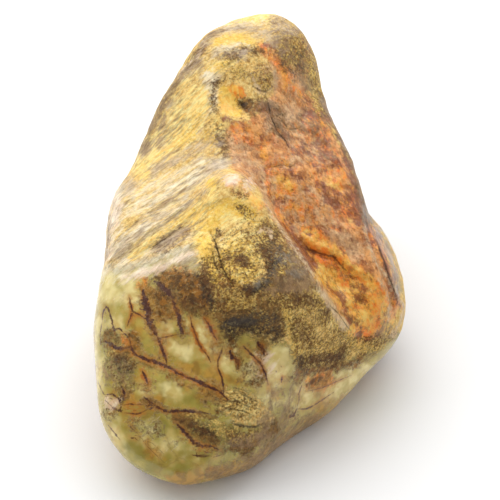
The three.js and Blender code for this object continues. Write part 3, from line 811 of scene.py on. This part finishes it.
class Layer(NamedTuple):
    """A mineral that lies over those before it."""
    name: str
    marks: list
    tones: tuple  # it mottles between these two
    mottle: float  # how fine the mottling is, per mm
    edge: float  # px over which a mark fades where it doesn't say
    frays: float  # how fine the fraying of its edges is, per mm
    soft: float  # how gradually it comes in
    rough: float
    grain: float  # how gritty it is
    far: tuple  # its patches where the picture doesn't reach: size in mm and fill
    lane: str = "stone"  # whose direction its patterns run in
    most: float = 1  # how much it hides what lies under it
    detail: tuple = (4, 3)  # of the fraying and of the mottling


# From the bottom up.
LAYERS = [
    Layer("olive", OLIVE, ((146, 134, 54), (166, 152, 66)), mottle=0.3, edge=16, frays=0.22,
          soft=1.2, rough=0.26, grain=0, far=(18, 0.2), detail=(1.5, 1.5)),
    Layer("milk", MILK, ((242, 224, 154), (218, 194, 116)), mottle=0.4, edge=9, frays=0.3,
          soft=1.1, rough=0.26, grain=0, far=(16, -0.1), detail=(1.5, 1.5)),
    Layer("honey", HONEY, ((150, 104, 26), (194, 140, 44)), mottle=0.6, edge=9, frays=0.45,
          soft=0.8, rough=0.28, grain=0, far=(12, -0.3), most=0.75, detail=(1.5, 1.5)),
    Layer("crust", CRUST, ((250, 218, 142), (224, 178, 98)), mottle=1.6, edge=4, frays=1.4,
          soft=0.4, rough=0.7, grain=0.5, far=(20, 0.5)),
    Layer("cream", CREAM, ((250, 240, 208), (244, 224, 182)), mottle=0.8, edge=7, frays=1.2,
          soft=0.9, rough=0.5, grain=0.15, far=(9, -0.3), lane="shoulder", most=0.85),
    Layer("gold", GOLD, ((255, 232, 150), (250, 204, 104)), mottle=1.6, edge=6, frays=1.4,
          soft=0.6, rough=0.6, grain=0.3, far=(10, 0.1), lane="shoulder"),
    Layer("sulphur", SULPHUR, ((252, 212, 98), (236, 184, 66)), mottle=1.4, edge=5, frays=1.8,
          soft=0.5, rough=0.6, grain=0.35, far=(8, -0.6), most=0.9),
    Layer("rust", RUST, ((244, 176, 106), (192, 122, 64)), mottle=0.6, edge=5, frays=0.7,
          soft=0.5, rough=0.32, grain=0.36, far=(15, -0.25), lane="rusty"),
    Layer("beige", BEIGE, ((240, 200, 150), (200, 158, 116)), mottle=0.7, edge=8, frays=0.8,
          soft=0.8, rough=0.45, grain=0.3, far=(7, -0.5), lane="rusty", most=0.8),
    Layer("flame", FLAME, ((255, 174, 60), (255, 134, 26)), mottle=0.6, edge=6, frays=0.7,
          soft=0.7, rough=0.28, grain=0.24, far=(7, -0.55), lane="rusty", most=0.95),
    Layer("ember", EMBER, ((255, 214, 108), (255, 188, 70)), mottle=1.1, edge=5, frays=0.9,
          soft=0.7, rough=0.3, grain=0.2, far=(7, -0.7), lane="rusty", most=0.9),
    Layer("maroon", MAROON, ((118, 56, 22), (152, 78, 32)), mottle=1.2, edge=5, frays=1,
          soft=0.6, rough=0.3, grain=0.24, far=(6, -0.8), lane="rusty", most=0.9),
    Layer("umber", UMBER, ((144, 104, 54), (88, 62, 34)), mottle=1.3, edge=7, frays=1.5,
          soft=0.7, rough=0.5, grain=0.5, far=(9, -0.55), most=0.95),
    Layer("brass", BRASS, ((255, 222, 128), (236, 190, 90)), mottle=1.8, edge=6, frays=2.4,
          soft=0.5, rough=0.6, grain=0.4, far=(8, -0.6), most=0.85),
    Layer("stain", STAIN, ((154, 98, 26), (84, 52, 16)), mottle=0.9, edge=6, frays=1.2,
          soft=0.8, rough=0.3, grain=0.35, far=(7, -0.6), most=0.95),
    Layer("blush", BLUSH, ((255, 234, 206), (238, 206, 176)), mottle=0.9, edge=5, frays=1.2,
          soft=0.8, rough=0.42, grain=0.2, far=(8, -0.6), lane="shoulder", most=0.85),
    Layer("lilac", LILAC, ((212, 192, 168), (174, 152, 134)), mottle=1.1, edge=7, frays=1.4,
          soft=0.9, rough=0.6, grain=0.5, far=(9, -0.5), lane="shoulder", most=0.75),
    Layer("smoke", SMOKE, ((160, 126, 88), (120, 94, 66)), mottle=0.7, edge=6, frays=1.2,
          soft=0.8, rough=0.4, grain=0.3, far=(9, -0.7), lane="rusty", most=0.85),
    # Near-black marks, with the painted shade in the hollow under the knob.
    Layer("black_and_shade", BLACK_AND_SHADE, ((26, 20, 14), (64, 50, 34)), mottle=1.4, edge=6, frays=1.8,
          soft=0.7, rough=0.45, grain=0.25, far=(6, -1), most=0.9),
    Layer("dark_streaks", DARK_STREAKS, ((160, 130, 92), (114, 88, 62)), mottle=1.4, edge=6, frays=1.6,
          soft=0.8, rough=0.6, grain=0.4, far=(8, -0.6), lane="shoulder", most=0.85),
    Layer("plum", PLUM, ((122, 82, 44), (76, 50, 30)), mottle=1.6, edge=5, frays=2.4,
          soft=0.5, rough=0.55, grain=0.6, far=(8, -0.7), most=0.9),
    # Pale strands, and painted highlights on edges that catch the light.
    Layer("rim", RIMS_AND_HIGHLIGHTS, ((236, 208, 164), (206, 170, 128)), mottle=1.1, edge=3, frays=1.6,
          soft=0.7, rough=0.42, grain=0.3, far=(6, -1.2), lane="rusty", most=0.85),
    Layer("slate", SLATE, ((148, 140, 122), (104, 96, 82)), mottle=1, edge=4, frays=1.4,
          soft=0.8, rough=0.36, grain=0.2, far=(6, -1), lane="rusty", most=0.7),
]
NEPHRITE = ((196, 176, 86), (166, 144, 60))
NEPHRITE_ROUGH = 0.28
# How far apart the layers' noise is taken, so that no two look alike: of their far patches and of the rest.
PATCH_SHIFT = Vector((7.3, 3.1, 5.7))
GRAIN_SHIFT = Vector((11.3, 5.9, 8.1))
FRAY = 4.5  # how strongly noise frays a layer's edge
SWAY = 2.6  # how strongly slower noise moves all layers' edges
PIT_TONE = (110, 72, 32)
# painted highlight: the pale glints on the grit's high places
PAINTED_GLINT_TONE = (255, 226, 150)
HOLLOW_TONE = (120, 60, 28)
WORN_TONE = (78, 50, 26)
VEIN_TONE = (80, 44, 32)
# Also the tone of the painted shadow lines under the tan rim and the rusty ledge.
CRACK_AND_SHADOW_TONE = (62, 42, 28)
CRACK_ROUGH = 0.8
THREADS_PER_MM = 0.11
THREAD_WANDER = 5.0  # mm
# Stained stone by a vein: its tone, how far it reaches in mm and how strong it is.
HALOS = [((208, 164, 78), 2.4, 0.5), ((186, 112, 40), 0.8, 0.9)]


def in_picture(points):
    """Where points (N x 3) show in the picture, in px."""
    away = points - np.array(EYE)
    depth = -away @ np.array(BACK)
    across = away[:, 0] / depth
    up = away @ np.array(UP) / depth
    return np.stack([PICTURE / 2 + FOCAL * across, PICTURE / 2 - FOCAL * up], axis=1)


def sight(x, y):
    """The way from the eye through a place in the picture."""
    across = (x - PICTURE / 2) / FOCAL
    up = (PICTURE / 2 - y) / FOCAL
    return (Vector((across, 0, 0)) + up * UP - BACK).normalized()


def fine_skin(source):
    """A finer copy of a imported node's mesh, as its own object."""
    mesh = source.data.copy()
    welded = bmesh.new()
    welded.from_mesh(mesh)
    bmesh.ops.remove_doubles(welded, verts=welded.verts, dist=WELD)
    welded.to_mesh(mesh)
    welded.free()
    skin = bpy.data.objects.new("pebble_skin", mesh)
    bpy.context.scene.collection.objects.link(skin)
    rounding = skin.modifiers.new("rounding", "SUBSURF")
    rounding.levels = FINENESS
    rounding.render_levels = FINENESS
    settled = skin.evaluated_get(bpy.context.evaluated_depsgraph_get())
    skin.data = bpy.data.meshes.new_from_object(settled)
    skin.modifiers.clear()
    skin.data.materials.clear()
    skin.data.polygons.foreach_set("use_smooth", [True] * len(skin.data.polygons))
    return skin


def places(mesh):
    """The vertices' places and normals, N x 3 each."""
    count = len(mesh.vertices)
    points = np.empty(count * 3)
    mesh.vertices.foreach_get("co", points)
    normals = np.empty(count * 3)
    mesh.vertex_normals.foreach_get("vector", normals)
    return points.reshape(-1, 3), normals.reshape(-1, 3)


def nearest_of(chosen, wanted):
    """For each wanted point, the index of the nearest chosen point and how far it is."""
    tree = KDTree(len(chosen))
    for index, point in enumerate(chosen):
        tree.insert(point, index)
    tree.balance()
    found = [tree.find(point)[1:] for point in wanted]
    return np.array([f[0] for f in found]), np.array([f[1] for f in found])


def stretched(points, along, times):
    """Places in mm, squeezed along one direction, so that patterns run long that way."""
    way = np.array(along.normalized())
    share = points @ way
    return (points - share[:, None] * way * (1 - 1 / times)) * MM


class Survey:
    """What the picture shows of the skin, and which shown skin is nearest to the rest."""

    def __init__(self, mesh):
        self.points, self.normals = places(mesh)
        self.tree = BVHTree.FromPolygons(
            [tuple(p) for p in self.points], [tuple(p.vertices) for p in mesh.polygons])
        towards = np.array(EYE) - self.points
        towards /= np.linalg.norm(towards, axis=1)[:, None]
        shown = (towards * self.normals).sum(axis=1) > BARELY_FACING
        for index in np.nonzero(shown)[0]:
            start = Vector(self.points[index] + LIFT * self.normals[index])
            shown[index] = self.tree.ray_cast(start, Vector(towards[index]))[0] is None
        self.shown = np.nonzero(shown)[0]
        self.hidden = np.nonzero(~shown)[0]
        self.px = in_picture(self.points[self.shown])
        self.guide, gap = nearest_of(self.points[self.shown], self.points[self.hidden])
        self.unseen = np.zeros(len(self.points))
        self.unseen[self.hidden] = np.clip(gap / CARRY, 0, 1)
        self.lanes = {name: stretched(self.points, self.place(*end) - self.place(*start), times)
                      for name, (start, end, times) in LANES.items()}

    def place(self, x, y):
        """The skin's point that shows at a place in the picture, or None."""
        return self.tree.ray_cast(EYE, sight(x, y))[0]

    def spread(self, field, beyond):
        """A field on the shown skin, carried onto the skin beside it and from there on as beyond says."""
        share = self.unseen[self.hidden]
        whole = np.empty(len(self.points))
        whole[self.shown] = field
        whole[self.hidden] = field[self.guide] * (1 - share) + beyond * share
        return whole


def patches(points, size_mm, fill, seed):
    """How full each place is of a layer whose patches lie loose in space, about as full as asked."""
    shift = seed * PATCH_SHIFT
    wave = [noise.fractal(Vector(p) * (MM / size_mm) + shift, 1.0, 2.0, 2) for p in points]
    return np.clip(np.array(wave) * PATCHY + fill, -NONE, 1)


def layer_field(survey, layer):
    """How full each vertex is of a mineral layer, from -NONE for bare to 1 and more for covered."""
    field = np.full(len(survey.px), -NONE)
    for mark in layer.marks:
        field = np.maximum(field, np.minimum(mark.fill, mark.depth(survey.px) / (mark.edge or layer.edge)))
    seed = LAYERS.index(layer)
    return survey.spread(field, patches(survey.points[survey.hidden], *layer.far, seed))


def zone_field(survey, zone):
    """1 well inside a zone of the picture, 0 outside it, carried onto the skin beside it."""
    return survey.spread(np.clip(depth_in(ZONES[zone], survey.px) / ZONE_EDGE, 0, 1), 0)


def traced(survey, lines):
    """The lines on the skin as short steps: starts, ends, half widths in metres and strengths."""
    starts, ends, widths, strengths = [], [], [], []
    for _, corners, half_width, strength in lines:
        steps = []
        for (ax, ay), (bx, by) in zip(corners, corners[1:]):
            count = max(int(math.hypot(bx - ax, by - ay) / TRACE_PX), 1)
            steps += [(ax + (bx - ax) * i / count, ay + (by - ay) * i / count) for i in range(count)]
        steps.append(corners[-1])
        last = None
        for index, (x, y) in enumerate(steps):
            place = survey.place(x, y)
            if place is not None and last is not None and (place - last).length < LEAP:
                taper = min(1, TIP + TAPER * min(index, len(steps) - 1 - index) / len(steps))
                starts.append(last)
                ends.append(place)
                widths.append(half_width * taper / PX_PER_M)
                strengths.append(strength * taper)
            last = place
    return np.array(starts), np.array(ends), np.array(widths), np.array(strengths)


def line_fields(points, starts, ends, widths, strengths):
    """From each point to the nearest line: the way there, how far it is, its half width and strength."""
    nearest, _ = nearest_of((starts + ends) / 2, points)
    best = np.full(len(points), 1e9)
    way = np.zeros_like(points)
    chosen = nearest.copy()
    for step in (-1, 0, 1):
        index = np.clip(nearest + step, 0, len(starts) - 1)
        side = ends[index] - starts[index]
        away = points - starts[index]
        share = (away * side).sum(axis=1) / np.maximum((side * side).sum(axis=1), TINY)
        offset = away - np.clip(share, 0, 1)[:, None] * side
        gap = np.linalg.norm(offset, axis=1)
        closer = gap < best
        best[closer] = gap[closer]
        way[closer] = offset[closer]
        chosen[closer] = index[closer]
    return way, best, widths[chosen], strengths[chosen]


def waves(places_mm, size_mm):
    """Smooth noise from -1 to 1 whose swells are about so large."""
    return np.array([noise.noise(Vector(p) / size_mm) for p in places_mm])


def hump(gap, half_width_mm):
    """1 on a ridge or lump and less away from it."""
    return np.exp(-(gap * MM / half_width_mm) ** 2)


def relief(survey, crusty):
    """How far each vertex moves along its normal, in metres."""
    rise = np.zeros(len(survey.points))
    for zone, size, height in ZONE_SWELLS:
        rise += height * zone_field(survey, zone) * waves(survey.lanes[zone], size)
    for size, height, more in SWELLS:
        rise += height * waves(survey.points * MM, size) * (1 + more * crusty)
    carved = [(name, corners, *CARVED[name]) for name, corners, _, _ in CRACKS if name in CARVED]
    for name, corners, half_width, height in RIDGES + carved + GROOVES:
        starts, ends, _, _ = traced(survey, [(name, corners, half_width, height)])
        rise += height * hump(gap_to_lines(survey.points, starts, ends), half_width)
    for _, (x, y), radius, height in LUMPS:
        gap = np.linalg.norm(survey.points - np.array(survey.place(x, y)), axis=1)
        rise += height * hump(gap, radius)
    low, high = FLAT_UNDER
    free = np.clip((survey.points[:, 2] - low) / (high - low), 0, 1)
    return rise * free * free * (3 - 2 * free) / MM


def carve(skin, low, high):
    """Moves the skin's vertices by its relief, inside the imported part's box."""
    survey = Survey(skin.data)
    crusts = [layer_field(survey, layer) for layer in LAYERS if layer.name in CRUSTY]
    crusty = np.clip(np.max(crusts, axis=0) + FRAYED, 0, 1)
    points = survey.points + relief(survey, crusty)[:, None] * survey.normals
    points[:, :2] = np.clip(points[:, :2], np.array(low[:2]) + MARGIN, np.array(high[:2]) - MARGIN)
    points[:, 2] = np.clip(points[:, 2], low[2], high[2] - MARGIN)
    skin.data.vertices.foreach_set("co", points.ravel())
    skin.data.update()


def write(mesh, name, values):
    """Stores one number or one vector a vertex under a name that the material reads."""
    kind, key = ("FLOAT", "value") if values.ndim == 1 else ("FLOAT_VECTOR", "vector")
    attribute = mesh.attributes.new(name, kind, "POINT")
    attribute.data.foreach_set(key, values.astype(np.float32).ravel())


def mark_skin(skin):
    """Stores every layer's, line's and zone's field on the skin, for the material."""
    survey = Survey(skin.data)
    mesh = skin.data
    for layer in LAYERS:
        write(mesh, "layer_" + layer.name, layer_field(survey, layer))
    for name, lines in (("vein", VEINS), ("crack", CRACKS)):
        way, gap, half_width, strength = line_fields(survey.points, *traced(survey, lines))
        write(mesh, name + "_way", way * MM)
        write(mesh, name + "_gap", gap * MM)
        write(mesh, name + "_width", half_width * MM)
        write(mesh, name + "_strength", strength)
    write(mesh, "unseen", survey.unseen)
    for name, lane in survey.lanes.items():
        write(mesh, name + "_lane", lane)
        write(mesh, name + "_zone", zone_field(survey, name))


class Mineral:
    """Short ways to add shader nodes to a material and join them up."""

    def __init__(self, name):
        self.material = bpy.data.materials.new(name)
        self.material.use_nodes = True
        self.tree = self.material.node_tree
        self.tree.nodes.clear()
        place = self.node("ShaderNodeTexCoord").outputs["Object"]
        self.place = self.vector("SCALE", place, scale=MM)  # in mm

    def node(self, kind, values=None, **settings):
        made = self.tree.nodes.new(kind)
        for name, value in settings.items():
            setattr(made, name, value)
        for name, value in (values or {}).items():
            if isinstance(value, bpy.types.NodeSocket):
                self.tree.links.new(value, made.inputs[name])
            else:
                made.inputs[name].default_value = value
        return made

    def stored(self, name, vector=False):
        made = self.node("ShaderNodeAttribute", attribute_name=name)
        return made.outputs["Vector" if vector else "Fac"]

    def maths(self, kind, a, b=0.0, c=0.0, clamp=False):
        return self.node("ShaderNodeMath", {0: a, 1: b, 2: c}, operation=kind, use_clamp=clamp).outputs[0]

    def times(self, a, b, clamp=False):
        return self.maths("MULTIPLY", a, b, clamp=clamp)

    def vector(self, kind, a, b=(0, 0, 0), scale=1.0):
        made = self.node("ShaderNodeVectorMath", {0: a, 1: b, 3: scale}, operation=kind)
        return made.outputs["Value" if kind == "LENGTH" else "Vector"]

    def noise(self, place, per_mm, detail, rough=0.55, twist=0.0, output="Fac"):
        values = {"Vector": place, "Scale": per_mm, "Detail": detail, "Roughness": rough,
                  "Distortion": twist}
        return self.node("ShaderNodeTexNoise", values).outputs[output]

    def rise(self, value, low, high, bottom=0.0, top=1.0):
        """bottom below low, top above high, and smooth between."""
        values = {"Value": value, "From Min": low, "From Max": high, "To Min": bottom, "To Max": top}
        made = self.node("ShaderNodeMapRange", values, interpolation_type="SMOOTHSTEP")
        return made.outputs["Result"]

    def mix(self, share, a, b):
        """A colour's way from a to b."""
        values = {0: share, 6: a, 7: b}
        return self.node("ShaderNodeMix", values, data_type="RGBA", clamp_factor=True).outputs[2]

    def blend(self, share, a, b):
        """A number's way from a to b."""
        values = {0: share, 2: a, 3: b}
        return self.node("ShaderNodeMix", values, data_type="FLOAT", clamp_factor=True).outputs[0]

    def finish(self, shader):
        out = self.node("ShaderNodeOutputMaterial")
        self.tree.links.new(shader.outputs["BSDF"], out.inputs["Surface"])
        return self.material


def tone(colour):
    """A screen colour, 0 to 255, as the light that a surface sends back."""
    parts = [c / 255 for c in colour]
    return tuple(p / 12.92 if p <= 0.04045 else ((p + 0.055) / 1.055) ** 2.4 for p in parts) + (1.0,)


def layered(stone):
    """Nephrite under every layer: its colour, roughness and grain."""
    lanes = {"stone": stone.place}
    lanes.update((name, stone.stored(name + "_lane", True)) for name in LANES)
    middle = -(SWAY + FRAY) / 2  # takes off what the two noises add on average
    sways = {name: stone.maths("MULTIPLY_ADD", stone.noise(lane, 0.28, 3, 0.6), SWAY, middle)
             for name, lane in lanes.items()}
    patch = stone.noise(stone.place, 0.22, 4, 0.5, twist=0.6)
    colour = stone.mix(stone.rise(patch, 0.35, 0.65), *map(tone, NEPHRITE))
    rough = NEPHRITE_ROUGH
    grain = 0.0
    for index, layer in enumerate(LAYERS):
        lane = stone.vector("ADD", lanes[layer.lane], index * GRAIN_SHIFT)
        frays, mottles = layer.detail
        field = stone.maths("ADD", sways[layer.lane], stone.stored("layer_" + layer.name))
        field = stone.maths("MULTIPLY_ADD", stone.noise(lane, layer.frays, frays, 0.7), FRAY, field)
        cover = stone.rise(field, -layer.soft, layer.soft, top=layer.most)
        mottle = stone.rise(stone.noise(lane, layer.mottle, mottles, 0.72), 0.40, 0.60)
        colour = stone.mix(cover, colour, stone.mix(mottle, *map(tone, layer.tones)))
        rough = stone.blend(cover, rough, layer.rough)
        grain = stone.blend(cover, grain, layer.grain)
    return colour, rough, grain


def weathered(stone, colour, grain):
    """Pits and painted glints (painted highlights on the grit's high places) in gritty crust, rusty hollows
    and worn places; also how high the grit stands.
    """
    loose = stone.noise(stone.place, 1.3, 5, 0.70)
    running = stone.noise(stone.stored("shoulder_lane", True), 2.2, 5, 0.68)
    rubble = stone.blend(stone.stored("shoulder_zone"), loose, running)
    uneven = stone.rise(stone.noise(stone.place, 0.4, 3, 0.6), 0.38, 0.6, bottom=0.35, top=1.15)
    gritty = stone.times(grain, uneven)
    pits = stone.times(stone.rise(rubble, 0.34, 0.49, bottom=0.7, top=0.0), gritty)
    colour = stone.mix(pits, colour, tone(PIT_TONE))
    # Painted highlights: pale glints where the grit stands highest.
    painted_glints = stone.times(stone.rise(rubble, 0.52, 0.66, top=0.5), gritty)
    colour = stone.mix(painted_glints, colour, tone(PAINTED_GLINT_TONE))
    rusty = stone.stored("rusty_zone")
    hollows = stone.noise(stone.stored("rusty_lane", True), 0.9, 5, 0.65)
    sunk = stone.times(stone.rise(hollows, 0.34, 0.46, bottom=0.34, top=0.0), rusty)
    colour = stone.mix(sunk, colour, tone(HOLLOW_TONE))
    low = stone.rise(stone.noise(stone.place, 0.55, 5, 0.7), 0.32, 0.48, bottom=0.2, top=0.0)
    worn = stone.times(low, stone.rise(grain, 0.0, 0.4, bottom=0.3))
    colour = stone.mix(worn, colour, tone(WORN_TONE))
    height = stone.maths("MULTIPLY_ADD", stone.times(hollows, rusty), 0.9, stone.times(rubble, grain))
    return colour, height


def fine_threads(stone, colour, grain):
    """A net of thin veins in bare nephrite, mostly where the picture doesn't reach."""
    bend = stone.noise(stone.place, 0.3, 4, 0.6, output="Color")
    wander = stone.vector("SCALE", bend, scale=THREAD_WANDER)
    cells = {"Vector": stone.vector("ADD", stone.place, wander), "Scale": THREADS_PER_MM}
    net = stone.node("ShaderNodeTexVoronoi", cells, feature="DISTANCE_TO_EDGE").outputs["Distance"]
    here = stone.rise(stone.noise(stone.place, 0.16, 3, 0.6), 0.44, 0.58)
    some = stone.times(here, stone.rise(grain, 0.1, 0.3, bottom=1.0, top=0.0))
    some = stone.times(some, stone.blend(stone.stored("unseen"), 0.2, 1.0))
    glow = stone.times(stone.rise(net, 0.02, 0.14, bottom=0.7, top=0.0), some)
    colour = stone.mix(glow, colour, tone(HALOS[1][0]))
    thread = stone.times(stone.rise(net, 0.008, 0.026, bottom=0.95, top=0.0), some)
    return stone.mix(thread, colour, tone(VEIN_TONE))


def line_mask(stone, name, wobble_mm, soft_mm):
    """How much of a line shows, and how far away it is in mm."""
    shake = stone.noise(stone.place, 1.6, 4, 0.6, output="Color")
    shake = stone.vector("SCALE", stone.vector("SUBTRACT", shake, (0.5, 0.5, 0.5)), scale=wobble_mm * 2)
    way = stone.vector("ADD", stone.stored(name + "_way", True), shake)
    gap = stone.maths("SUBTRACT", stone.stored(name + "_gap"), 0.3 + wobble_mm)
    away = stone.maths("MAXIMUM", stone.vector("LENGTH", way), gap)
    swollen = stone.rise(stone.noise(stone.place, 1.1, 6, 0.75), 0.3, 0.7, bottom=0.1, top=2.0)
    width = stone.times(stone.stored(name + "_width"), swollen)
    return stone.rise(stone.maths("SUBTRACT", width, away), -soft_mm, soft_mm), away


def veined(stone, colour):
    """Veins that fade here and there, with stained stone beside them."""
    vein, away = line_mask(stone, "vein", wobble_mm=0.16, soft_mm=0.10)
    strength = stone.stored("vein_strength")
    drift = stone.maths("SUBTRACT", stone.noise(stone.place, 0.9, 5, 0.65), 0.5)
    for tint, reach, most in HALOS:
        gap = stone.maths("MULTIPLY_ADD", drift, 3.0 * reach, away)
        halo = stone.times(stone.rise(gap, 0.1, reach, bottom=most, top=0.0), strength, clamp=True)
        colour = stone.mix(halo, colour, tone(tint))
    faded = stone.rise(stone.noise(stone.place, 0.7, 4, 0.7), 0.34, 0.56, bottom=0.6, top=0.98)
    return stone.mix(stone.times(vein, faded), colour, tone(VEIN_TONE))


def stone_material(name):
    """Nephrite under layers of weathered crust, rust and stains, with veins and cracks."""
    stone = Mineral(name)
    colour, rough, grain = layered(stone)
    colour, height = weathered(stone, colour, grain)
    colour = veined(stone, fine_threads(stone, colour, grain))
    crack, _ = line_mask(stone, "crack", wobble_mm=0.14, soft_mm=0.12)
    crack = stone.times(crack, stone.stored("crack_strength"), clamp=True)
    colour = stone.mix(crack, colour, tone(CRACK_AND_SHADOW_TONE))
    rough = stone.blend(crack, rough, CRACK_ROUGH)
    height = stone.maths("MULTIPLY_ADD", stone.noise(stone.place, 0.35, 3, 0.5), 0.12, height)
    height = stone.maths("MULTIPLY_ADD", crack, -0.4, height)
    bump = stone.node("ShaderNodeBump", {"Strength": 0.9, "Distance": 0.0009, "Height": height})
    return stone.finish(stone.node("ShaderNodeBsdfPrincipled", {
        "Base Color": colour,
        "Roughness": rough,
        "Normal": bump.outputs["Normal"],
        "IOR": 1.5,
        "Specular IOR Level": stone.rise(grain, 0.0, 0.5, bottom=0.5, top=0.15),
        "Coat Weight": stone.rise(grain, 0.0, 0.5, bottom=0.5, top=0.0),
        "Coat Roughness": 0.12,
        "Coat IOR": 1.5,
        "Subsurface Weight": 0.12,
        "Subsurface Radius": (1.0, 0.8, 0.4),
        "Subsurface Scale": 0.0015,
    }))


def make_camera():
    data = bpy.data.cameras.new("camera")
    data.sensor_width = SENSOR_MM
    data.lens = LENS_MM
    data.clip_start = NEAR_CLIP
    camera = bpy.data.objects.new("camera", data)
    camera.location = EYE
    camera.rotation_euler = (math.pi / 2 - ELEVATION, 0, 0)
    bpy.context.scene.collection.objects.link(camera)
    bpy.context.scene.camera = camera


def make_floor():
    shape = bmesh.new()
    bmesh.ops.create_grid(shape, x_segments=1, y_segments=1, size=FLOOR_HALF)
    mesh = bpy.data.meshes.new("floor")
    shape.to_mesh(mesh)
    shape.free()
    floor = bpy.data.objects.new("floor", mesh)
    bpy.context.scene.collection.objects.link(floor)
    paint = Mineral("floor_paint")
    colour = paint.mix(paint.noise(paint.place, 0.02, 2), *FLOOR_TONES)
    values = {"Base Color": colour, "Roughness": 0.9, "Specular IOR Level": 0.1}
    mesh.materials.append(paint.finish(paint.node("ShaderNodeBsdfPrincipled", values)))
    return floor


def soft_box(name, place, size, watts):
    """A lamp, width and height in metres, that looks at the stone."""
    data = bpy.data.lights.new(name, "AREA")
    data.shape = "RECTANGLE"
    data.size, data.size_y = size
    data.energy = watts
    lamp = bpy.data.objects.new(name, data)
    lamp.location = place
    lamp.rotation_euler = (AIM - Vector(place)).to_track_quat("-Z", "Y").to_euler()
    bpy.context.scene.collection.objects.link(lamp)


def make_room():
    """A white room: even light, a white backdrop, and a brighter half behind the stone for its polish."""
    world = bpy.data.worlds.new("studio")
    world.use_nodes = True
    nodes, links = world.node_tree.nodes, world.node_tree.links
    nodes.clear()
    rays = nodes.new("ShaderNodeLightPath").outputs

    def glow(strength=1.0):
        made = nodes.new("ShaderNodeBackground")
        made.inputs["Color"].default_value = (1, 1, 1, 1)
        made.inputs["Strength"].default_value = strength
        return made

    def choose(ray, otherwise, chosen):
        made = nodes.new("ShaderNodeMixShader")
        for socket, source in zip(made.inputs, (rays[ray], otherwise.outputs[0], chosen.outputs[0])):
            links.new(source, socket)
        return made

    mirrored = glow()
    way = nodes.new("ShaderNodeSeparateXYZ")
    links.new(nodes.new("ShaderNodeTexCoord").outputs["Generated"], way.inputs[0])
    bright = nodes.new("ShaderNodeMapRange")
    for name, value in zip(("From Min", "From Max", "To Min", "To Max"), (-0.5, 0.5, *MIRRORED)):
        bright.inputs[name].default_value = value
    links.new(way.outputs["Y"], bright.inputs["Value"])
    links.new(bright.outputs["Result"], mirrored.inputs["Strength"])
    room = choose("Is Camera Ray", choose("Is Glossy Ray", glow(ROOM_LIGHT), mirrored), glow())
    links.new(room.outputs[0], nodes.new("ShaderNodeOutputWorld").inputs["Surface"])
    bpy.context.scene.world = world


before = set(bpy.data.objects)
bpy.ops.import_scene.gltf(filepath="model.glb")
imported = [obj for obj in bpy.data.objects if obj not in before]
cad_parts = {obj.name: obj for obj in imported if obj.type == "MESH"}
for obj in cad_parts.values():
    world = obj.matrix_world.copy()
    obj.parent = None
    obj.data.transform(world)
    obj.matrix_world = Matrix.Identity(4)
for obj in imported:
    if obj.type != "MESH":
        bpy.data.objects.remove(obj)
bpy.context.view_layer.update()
make_camera()
make_room()
soft_box("key", **KEY_LIGHT)
bpy.context.scene.view_settings.view_transform = "Standard"
make_floor()

pebble = fine_skin(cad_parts["nephrite_pebble"])
carve(pebble, *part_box("nephrite_pebble"))
mark_skin(pebble)
pebble.data.materials.append(stone_material("nephrite_stone"))
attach(pebble, "root")
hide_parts("nephrite_pebble")
